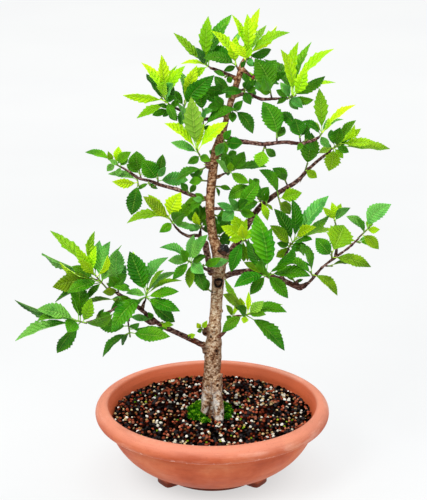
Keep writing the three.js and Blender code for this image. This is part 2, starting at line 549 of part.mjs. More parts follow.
// One leaf: a three-sided stalk and a blade with a toothed edge, thickest along the rib, folded and arched.
function leaf(root, [, clock, lean, length, width, turn, bend]) {
  const arch = length * drawIn(ARCH_SHARE);
  const fold = drawIn(FOLD);
  const drawnBend = drawIn(BEND_SHARE);
  const bow = length * (bend ?? drawnBend);
  const flat = Math.cos(THREE.MathUtils.degToRad(lean));
  const bearing = THREE.MathUtils.degToRad(clock);
  const forward = Math.sin(THREE.MathUtils.degToRad(lean));
  const along = new THREE.Vector3(Math.cos(bearing) * flat, -forward, Math.sin(bearing) * flat);
  const open = FRONT.clone().addScaledVector(along, -FRONT.dot(along)).normalize();
  const skyward = along.clone().cross(open);
  if (skyward.z < 0) skyward.negate();
  const tilt = THREE.MathUtils.degToRad(turn);
  const face = open.multiplyScalar(Math.cos(tilt)).addScaledVector(skyward, Math.sin(tilt));
  const side = face.clone().cross(along);

  const kind = length < SHORT_LEAF ? "short" : length < LONG_LEAF ? "middle" : "long";
  const stalk = STALK_SHARE * length + LONG_STALK_SHARE * Math.max(0, length - LONG_LEAF);
  const blade = length - stalk;
  const place = [];
  const put = (reach, out, lift) => {
    const curve = (4 * reach * (length - reach)) / (length * length);
    const point = root.clone().addScaledVector(along, reach);
    point.addScaledVector(side, out + bow * curve);
    point.addScaledVector(face, arch * curve + fold * Math.abs(out) + lift);
    place.push(...point.toArray());
    return place.length / 3 - 1;
  };
  const ring = (reach) => [
    put(reach, -STALK_RADIUS, -STALK_RADIUS / 2),
    put(reach, STALK_RADIUS, -STALK_RADIUS / 2),
    put(reach, 0, STALK_RADIUS),
  ];
  const start = ring(0);
  const neck = ring(stalk);
  const tip = put(length, 0, 0);
  const edgeReach = [stalk, ...EDGES[kind].map(([share]) => stalk + share * blade), length];
  const edge = (hand, first) => [
    first,
    ...EDGES[kind].map(([share, wide]) => put(stalk + share * blade, (hand * wide * width) / 2, 0)),
    tip,
  ];
  const left = edge(-1, neck[0]);
  const right = edge(1, neck[1]);
  const ribReach = RIBS[kind].map((share) => stalk + share * blade);
  const rib = (lift) => ribReach.map((reach) => put(reach, 0, lift));
  const upper = [neck[2], ...rib(LEAF_HALF_THICK), tip];
  const lower = [...rib(-LEAF_HALF_THICK), tip];
  const upperReach = [stalk, ...ribReach, length];
  const lowerReach = [...ribReach, length];
  const faces = [
    [start[0], start[2], start[1]],
    ...[[0, 1], [1, 2], [2, 0]].flatMap(([k, next]) => [
      [start[k], start[next], neck[next]],
      [start[k], neck[next], neck[k]],
    ]),
    [neck[0], neck[1], lower[0]],
    ...strip(upper, upperReach, left, edgeReach),
    ...strip(right, edgeReach, upper, upperReach),
    ...strip(left, edgeReach, lower, lowerReach),
    ...strip(lower, lowerReach, right, edgeReach),
  ];
  const geometry = new THREE.BufferGeometry();
  geometry.setAttribute("position", new THREE.BufferAttribute(new Float32Array(place), 3));
  geometry.setIndex(faces.flat());
  return solidOf(geometry);
}

// Triangles between two lines of points that end in the same point.
function strip(one, oneReach, other, otherReach) {
  const faces = [];
  let a = 0;
  let b = 0;
  while (a < one.length - 2 || b < other.length - 2) {
    const onOne = b === other.length - 2 || (a < one.length - 2 && oneReach[a + 1] < otherReach[b + 1]);
    const next = onOne ? one[a + 1] : other[b + 1];
    faces.push([one[a], other[b], next]);
    if (onOne) a += 1;
    else b += 1;
  }
  faces.push([one[a], other[b], one[a + 1]]);
  return faces;
}

// A leafy spur: a short straight green stem that starts at the wood, with its leaves sunk into it.
function spur([start, end], leaves, grownWood) {
  const from = new THREE.Vector3(...start);
  const to = new THREE.Vector3(...end);
  const past = to.clone().addScaledVector(to.clone().sub(from).normalize(), SPUR_PAST);
  const stem = rod([start, past.toArray()], [SPUR_RADIUS, SPUR_RADIUS], SPUR_SIDES).subtract(grownWood);
  return leaves.reduce((sum, row) => sum.add(leaf(from.clone().lerp(to, row[0]), row)), largest(stem));
}

const grownWood = wood(GAP);
addPiece("pot", pot(), "terracotta");
addPiece("screen_left", screen(-DRAIN_OFFSET), "mesh");
addPiece("screen_right", screen(DRAIN_OFFSET), "mesh");
addPiece("soil", soil(grownWood), "soil");
addPiece("moss", moss(grownWood), "moss");
addPiece("trunk_and_branches", wood(0), "bark");
addPiece("wound_seal", seal(grownWood), "seal");
for (const [name, [points, leaves]] of Object.entries(SPURS)) {
  addPiece(`leaves_${name}`, spur(points, leaves, grownWood), "leaf");
}

export default tree;
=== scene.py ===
import math
import random

import bmesh
import bpy
import numpy as np
from mathutils import Matrix, Vector, kdtree, noise


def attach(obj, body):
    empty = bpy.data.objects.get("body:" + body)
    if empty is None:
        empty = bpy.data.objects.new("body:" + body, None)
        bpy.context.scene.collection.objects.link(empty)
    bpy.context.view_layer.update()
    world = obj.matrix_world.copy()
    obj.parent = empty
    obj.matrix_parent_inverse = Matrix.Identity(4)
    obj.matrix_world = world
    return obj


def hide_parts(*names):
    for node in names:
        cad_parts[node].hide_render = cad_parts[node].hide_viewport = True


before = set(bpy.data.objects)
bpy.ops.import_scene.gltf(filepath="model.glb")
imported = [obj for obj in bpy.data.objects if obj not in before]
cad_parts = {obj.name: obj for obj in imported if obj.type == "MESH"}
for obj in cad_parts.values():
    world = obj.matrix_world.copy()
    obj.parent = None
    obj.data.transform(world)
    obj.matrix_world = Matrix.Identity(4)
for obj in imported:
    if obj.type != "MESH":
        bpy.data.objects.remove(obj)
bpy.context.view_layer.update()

MM = 0.001
# The way towards the camera, from which the turn of a leaf's face is counted.
FRONT = Vector((0, -0.953, 0.304))

# Pot
BASE_RADIUS = 54
POT_SEGMENTS = 144
# The pot's edges stay sharp where they turn by more degrees than this.
POT_CREASE = 38
SEAM_HEIGHT = 68.8
SEAM_SHADOW_HEIGHT = 66.1
# Radii and heights between which the clay's look changes to that of the inside, to painted shade on the lower
# wall and the base ring, to a paler rim that is partly faded clay and partly a painted highlight, and to the
# scuffed shoulder.
INSIDE_RADII = (122.2, 120)
INSIDE_HEIGHTS = (62, 66)
LOW_SHADE_HEIGHTS = (40, 4)
BASE_SHADE_HEIGHTS = (7.5, 4.2)
RIM_FADE_AND_HIGHLIGHT_HEIGHTS = (79.5, 92.5)
SCUFF_HEIGHTS = (60, 72)
FOOT_TURNS = (90, 215, 325)
FOOT_CIRCLE = 61.5
# Half of a foot's size towards the pot's middle and across.
FOOT_DEPTH = 8.4
FOOT_WIDTH = 10.2
# A foot from the floor up: height, and its size there as a share.
FOOT_STEPS = [(0, 0.93), (0.7, 0.99), (3, 1), (8.4, 1)]
DRAIN_RADIUS = 7
DRAIN_OFFSET = 30
# The rod that cuts a drain hole goes from below the pot to above its floor.
DRAIN_ENDS = (-10, 20)
DRAIN_SEGMENTS = 40

# Soil
GRAIN_SPACING = 3.35
# The soil's surface is all that looks up above this height.
BED_LOWEST = 66
# Kinds of grain: name, the share of all grains where it ends and the next begins, smallest and largest
# size, roughness, dark and light tone.
GRAIN_KINDS = [
    ("lava_grains", 0.4, 2.8, 5.0, 0.36, "020202", "3a3637"),
    ("clay_grains", 0.69, 2.8, 4.8, 0.55, "2c0c07", "ba5a3e"),
    ("brick_grains", 0.78, 2.6, 4.6, 0.7, "6c2c1a", "dc9070"),
    ("pumice_grains", 0.88, 2.6, 4.8, 0.85, "d0c8b4", "fffdf4"),
    ("tan_grains", 0.985, 2.4, 4.0, 0.7, "80582c", "e6cc98"),
    ("green_grains", 1.01, 2.4, 3.4, 0.6, "5c8a14", "b9c83a"),
]

# Moss: the balls that make its cushion, as x, y and radius, and the height of their middles.
MOSS_BUMPS = [
    (-18, -17, 12), (-20, -2, 11), (-8, -31, 7), (-12, 10, 12),
    (2, 14, 12), (14, 8, 10), (17, -6, 9), (17, -20, 7),
]
MOSS_LEVEL = 75.5
MOSS_FLATNESS = 0.62
MOSS_VOXEL = 1.1
MOSS_WAVE = 0.9
# How far the tufts stand out from the cushion, which is made that much smaller.
TUFT_REACH = 1.2

# Wood
WOOD_VOXEL = 0.85
LIMB_SIDES = 16
# How much thicker a limb's first points are, where it leaves its parent.
COLLAR = (1.34, 1.22, 1.1)
# Rings of a limb's round end, in degrees from its side to its tip, and how long the end is for its radius.
END_TURNS = (25, 50, 72)
END_LENGTH = 0.8
# Swellings and nubs: place and radius.
KNOTS = [(-6.6, -14, 178.5, 5.4), (-7.2, -13, 184.5, 3.4), (-7, -14, 160, 5.6), (5, -19, 158, 2.6),
         (7, -15, 241, 4.4), (-4, -2, 370, 4), (11, -12, 203, 1.9), (-0.5, -13, 221, 1.6),
         (-10, -15, 165, 2.8), (-5, -18, 164, 2.3), (-9, -17, 156, 2.7), (-4.5, -19, 157, 2.1),
         (-1, -18, 168, 2.2), (92, -50, 249, 3.2), (97, -51, 245, 3.6), (100, -52, 246, 2.9),
         (94, -50, 252, 2), (103, -53, 250, 2.2)]
# How much of a knot's radius its ball has before the skin is laid over it.
KNOT_SHARE = 0.93
# Round scars of old cuts: place on the bark and radius. A large one is dark along its rim.
SCARS = [(5, -20.5, 158, 2.4), (7, -17.5, 237.5, 5.6), (12.2, -12.5, 203, 1.6), (-4.5, -13, 221, 1.6),
         (-7.5, -19, 178.5, 1.8)]
LARGE_SCAR = 3
# Darker, redder places about old cuts: place and reach.
STAINS = [(-8, -16, 161, 8), (-9, -14, 180, 10), (7, -15, 238, 10), (5, -20, 158, 4)]
# A raised line on the bark over an old wound, and its radius.
SCAR_RIDGE = [(11.5, -15, 128), (6, -19.5, 124), (-1, -20.6, 120)]
SCAR_RIDGE_RADIUS = 1.5
# The trunk has plated old bark up to a height. Its relief fades out over a span of heights.
OLD_BARK_TOP = 215
OLD_BARK_FADE_END = 230
OLD_BARK_FADE_SPAN = 50
# Heights between which the trunk's bark turns pale and then brown, and between which its reddish patches,
# its chalky patches and its pits end.
PALE_HEIGHTS = (175, 215)
BROWN_HEIGHTS = (270, 370)
RUDDY_HEIGHTS = (300, 200)
CHALKY_HEIGHTS = (145, 120)
PIT_HEIGHTS = (320, 270)
# How far past the trunk's surface a branch takes its own colour.
BRANCH_BLEND = 9
# The blob of wound paste, and how much of its size it has before its lumps.
SEAL_CENTRE = (12.5, -10.5, 275.5)
SEAL_SIZE = (7.2, 5, 6.4)
SEAL_SHARE = 0.94

# Spur stems, buds and thorns. Their feet are sunk in the wood, and a stem goes on past its last leaf.
SUNK = 1.5
STEM_SIDES = 8
STEM_FOOT_RADIUS = 1.1
STEM_RADIUS = 0.95
STEM_TAPER = 0.1
STEM_PAST = 1.4
# Rings of old bud scales: how far apart they are, and how far they stand out or go in.
RING_STEP = 1.1
RING_RELIEF = (-0.098, 0.14)
# The bud at a stem's end: how far past the stem, and the radius there.
END_BUD = ((0.8, 1.15), (1.7, 1.0), (2.5, 0.65), (3.1, 0.2))
# Buds and reddish leaf stalks: base, tip and radius.
BUDS = [((44, -11, 470), (45.5, -12, 473.5), 1.5), ((40, -11, 490), (38, -12, 497), 0.8),
        ((41, -12, 489), (42.5, -13, 494), 0.8)]
# How a bud swells: share of its length, and share of its radius.
BUD_SWELL = ((-0.3, 0.7), (0, 0.85), (0.35, 1), (0.7, 0.75), (0.9, 0.4), (1, 0.12))
THORNS = [((-64, 16, 342), (-69, 14, 340)), ((58, -17, 396), (60, -19, 389)), ((102, 17, 353), (98, 16, 345)),
          ((39, -9, 450), (42, -11, 444)), ((17, -3, 404), (17, -5, 397))]
THORN_SIDES = 6
THORN_RADII = (0.9, 0.8, 0.45, 0.12)

# Leaves. A stalk is a share of its leaf, with another share of what a long leaf has beyond LONG_LEAF.
STALK_SHARE = 0.13
LONG_STALK_SHARE = 0.16
LONG_LEAF = 40
# Columns of points from the midrib to the edge, and how far towards the tip the edge is swept.
COLUMNS = (0.0, 0.12, 0.55, 1.0)
SWEEP = 0.17
# How thick a blade is in the middle, and how much thinner its edge is as a share of that.
BLADE_THICK = 0.5
BLADE_THINNING = 0.44
# The teeth begin at a share of the blade and are full after another share. They lean towards the tip.
TEETH_START = 0.08
TEETH_GROWTH = 0.2
TEETH_LEAN = 0.3
# The least half width at a blade's ends as a share of its widest, and how full the tip is.
LEAST_WIDTH = 0.035
TIP_FULLNESS = 0.96
# How much the blade rises between its side veins, and sinks along the midrib, as shares of its length.
QUILT = 0.0065
GROOVE = 0.009
# Stalk and midrib: share of the blade's length, with -1 at the stalk's foot, and radius.
RIB = [(-1, 0.95), (-0.8, 0.72), (-0.3, 0.55), (0, 0.52), (0.22, 0.46), (0.5, 0.34), (0.75, 0.22),
       (0.96, 0.08)]
RIB_SIDES = 5
RIB_TURN = 0.3
# How far the midrib lies below the middle of the blade.
RIB_DROP = 0.22
# Spans for the seeded draws of a leaf: arch and sideways bow as shares of its length, and slope of its fold.
ARCH_SHARE = (0.03, 0.1)
FOLD = (0.12, 0.38)
BEND_SHARE = (-0.06, 0.06)
# Tones of the leaves: colour of the blade, how rough it is and how clear its side veins are.
TONES = {
    "L": ("b2f000", 0.5, 0.2),
    "Y": ("78b800", 0.48, 0.28),
    "M": ("449400", 0.44, 0.45),
    "O": ("6a9800", 0.48, 0.42),
    "D": ("2f8000", 0.42, 0.45),
    "B": ("309000", 0.34, 0.62),
    # T is paler and bluer than the rest, partly a painted reflection of the sky on its glossy blade.
    "T": ("5aae46", 0.32, 0.45),
    "P": ("88c030", 0.38, 0.85),
}
YOUNG_TONES = "LYP"
# Outlines of the two kinds of blade: where it is widest, how full it is towards the stalk, how it narrows
# to the stalk and to the tip, the teeth on each side and how deep they are cut.
BLADES = {
    "young_blade": {"widest": 0.52, "shoulder": 1.7, "foot": 1.05, "point": 1.55, "teeth": 8, "depth": 0.12},
    "mature_blade": {"widest": 0.52, "shoulder": 2.0, "foot": 0.85, "point": 1.8, "teeth": 11,
                     "depth": 0.085},
}

# Studio, in metres and degrees: half the width of the floor, the lights and the camera.
FLOOR_REACH = 20
# The floor's own glow, what it loses under the pot, which paints a soft shadow there, and what it gains far
# away, and where that happens.
FLOOR_GLOW = 0.835
FLOOR_SHADOW_LOSS = 0.2
FLOOR_GAIN = 0.1
POT_SHADOW_RADII = (0.12, 0.05)
FAR_AWAY = (0.5, 2.4)
WORLD_COLOUR = (0.985, 0.99, 1.0, 1)
WORLD_STRENGTH = 0.48
# Lights: name, place, size, power and colour. They all point at the crown's middle.
LIGHTS = [
    ("key", (-1.1, -1.5, 1.9), 0.9, 44, (1.0, 0.985, 0.96)),
    ("fill", (1.5, -1.2, 1.2), 1.2, 11, (0.98, 0.99, 1.0)),
    ("top", (0.1, 0.3, 2.1), 1.2, 21, (1.0, 1.0, 1.0)),
]
LIGHTS_AIM = (0, 0, 0.25)
# The camera looks down by so many degrees. Its lens and the longer side of its frame are in millimetres.
CAMERA_PLACE = (0.0015, -1.65, 0.798)
CAMERA_DOWN = 17.69
CAMERA_LENS = 110.88
CAMERA_FRAME = 36

# The trunk's middle line from inside the soil to the leader, and its radius at each point.
TRUNK = [
    (1, -9, 61), (0, -9, 88), (0, -10, 124), (1, -10, 155), (3, -10, 186), (5, -9, 215), (7, -7, 241),
    (8, -6, 260), (5, -5, 276), (1, -3, 288), (-2, -1, 310), (-2, 0, 332), (0, 1, 355), (3, 1, 381),
    (8, 1, 397), (13, 0, 412), (17, 0, 428), (21, -1, 444), (25, -2, 457), (29, -4, 470), (32, -5, 482),
    (35, -6, 489),
]
TRUNK_RADII = [
    6.2, 7.2, 9.2, 9.7, 7.2, 6.8, 7.3, 7.6, 6.7, 5.2, 5, 5.1, 5.2, 5, 5, 3.8, 3.2, 3.7, 3.7, 3.4, 2.9,
    2.5,
]

# Roots, branches and twigs: points, radius at the start, radius at the end.
BRANCHES = {
    "root_left": ([(-3, -10, 126), (-5, -13, 107), (-7, -15, 93), (-9, -16, 81)], 7.4, 4.4),
    "root_right": ([(4, -12, 124), (5, -18, 104), (7, -22, 89), (8, -25, 75)], 7.4, 5.6),
    "root_back": ([(2, -6, 119), (4, 2, 98), (8, 9, 80), (11, 15, 67)], 7.3, 3.8),
    "low_left": ([(-1, -14, 158), (-10, -18, 164), (-31, -26, 178), (-52, -33, 191), (-64, -38, 201),
        (-79, -42, 216), (-92, -45, 229), (-103, -48, 236), (-114, -51, 244)], 3.8, 1.5),
    "low_left_stub": ([(-62, -38, 200), (-69, -40, 199), (-74, -42, 203)], 2.5, 1.8),
    "low_left_front": ([(-91, -45, 227), (-100, -52, 225), (-109, -60, 222), (-120, -68, 218),
        (-127, -72, 215), (-137, -76, 213)], 1.9, 1.2),
    "low_left_drop": ([(-84, -44, 220), (-90, -56, 218), (-91, -68, 212)], 1.7, 1.2),
    "low_left_spur": ([(-78, -42, 215), (-76, -40, 222), (-74, -39, 226)], 1.9, 1.3),
    "front_twig": ([(4, -10, 249), (-5, -27, 257), (-13, -34, 264), (-21, -38, 268)], 2, 1.5),
    "side_stub": ([(1, -10, 247), (-3, -12, 260), (-6, -12, 273), (-7, -12, 284)], 4.5, 3.2),
    "side_stem": ([(3, -8, 251), (-5, -8, 265), (-9, -4, 279), (-15, -2, 289), (-26, 0, 288),
        (-35, -2, 293), (-42, -4, 301)], 3.1, 1.5),
    "side_stem_fork": ([(-14, -2, 288), (-13, 8, 292)], 1.9, 1.3),
    "left": ([(-1, 2, 331), (-10, 8, 330), (-24, 15, 332), (-38, 21, 336), (-57, 26, 340),
        (-71, 27, 345), (-83, 27, 348), (-94, 27, 356), (-102, 27, 361)], 2.9, 1.3),
    "upper_left_low": ([(2, 3, 368), (-6, -8, 375), (-12, -18, 382)], 2.1, 1.6),
    "upper_left": ([(17, 2, 429), (9, 2, 426), (0, 0, 423), (-11, -2, 423), (-24, -3, 429),
        (-37, -4, 434), (-46, -6, 439)], 2.5, 1.5),
    "top_left": ([(29, -3, 466), (18, 6, 470), (6, 12, 474), (-2, 15, 476)], 2.4, 1.6),
    "top_left_short": ([(31, -6, 477), (28, 4, 478)], 1.8, 1.5),
    "top_right_short": ([(32, -6, 480), (38, -9, 475), (44, -10, 470)], 1.9, 1.5),
    "upper_right": ([(22, 0, 448), (30, -6, 451), (41, -12, 452), (53, -16, 448), (65, -20, 449),
        (81, -22, 450)], 2.6, 1.5),
    "right": ([(11, 3, 406), (17, -3, 402), (29, -10, 400), (43, -18, 400), (57, -24, 400),
        (78, -32, 404), (95, -38, 404), (105, -40, 407), (114, -44, 412)], 3.2, 1.6),
    "right_long": ([(11, -6, 260), (20, 2, 267), (28, 8, 278), (39, 12, 296), (48, 15, 310),
        (57, 18, 320), (72, 21, 331), (88, 24, 340), (98, 26, 347), (107, 28, 357), (119, 32, 367),
        (133, 34, 378)], 4.7, 1.6),
    "low_right": ([(8, -9, 240), (19, -16, 248), (27, -21, 252), (41, -28, 256), (55, -36, 257),
        (67, -40, 253), (80, -45, 250), (88, -48, 247), (95, -51, 245), (101, -54, 248)], 3.4, 3.1),
    "low_right_shoot": ([(97, -52, 246), (103, -54, 249), (110, -56, 257), (120, -57, 270),
        (133, -60, 282), (147, -63, 294), (158, -66, 306)], 2, 1.3),
    "low_right_spur": ([(78, -45, 251), (77, -34, 260), (80, -27, 270), (85, -21, 280)], 1.8, 1.3),
    "low_right_fork": ([(134, -60, 283), (137, -40, 293), (138, -26, 303)], 1.7, 1.2),
    "front_low": ([(5, -14, 172), (12, -28, 182), (17, -44, 198), (23, -52, 210), (31, -60, 215)], 2.5, 1.6),
    "middle_right": ([(-4, 0, 320), (5, -10, 323), (14, -18, 326), (22, -24, 326)], 2.4, 1.5),
    "middle_stub": ([(0, 3, 354), (8, 6, 356), (13, 9, 358)], 2, 1.5),
    "middle_back": ([(-1, -2, 300), (5, 20, 292), (10, 38, 283)], 2.1, 1.5),
    "upper_back": ([(25, -2, 455), (32, 20, 450), (38, 34, 450)], 2, 1.5),
    "trunk_back": ([(4, 3, 384), (9, 20, 378), (12, 34, 370)], 2, 1.5),
}

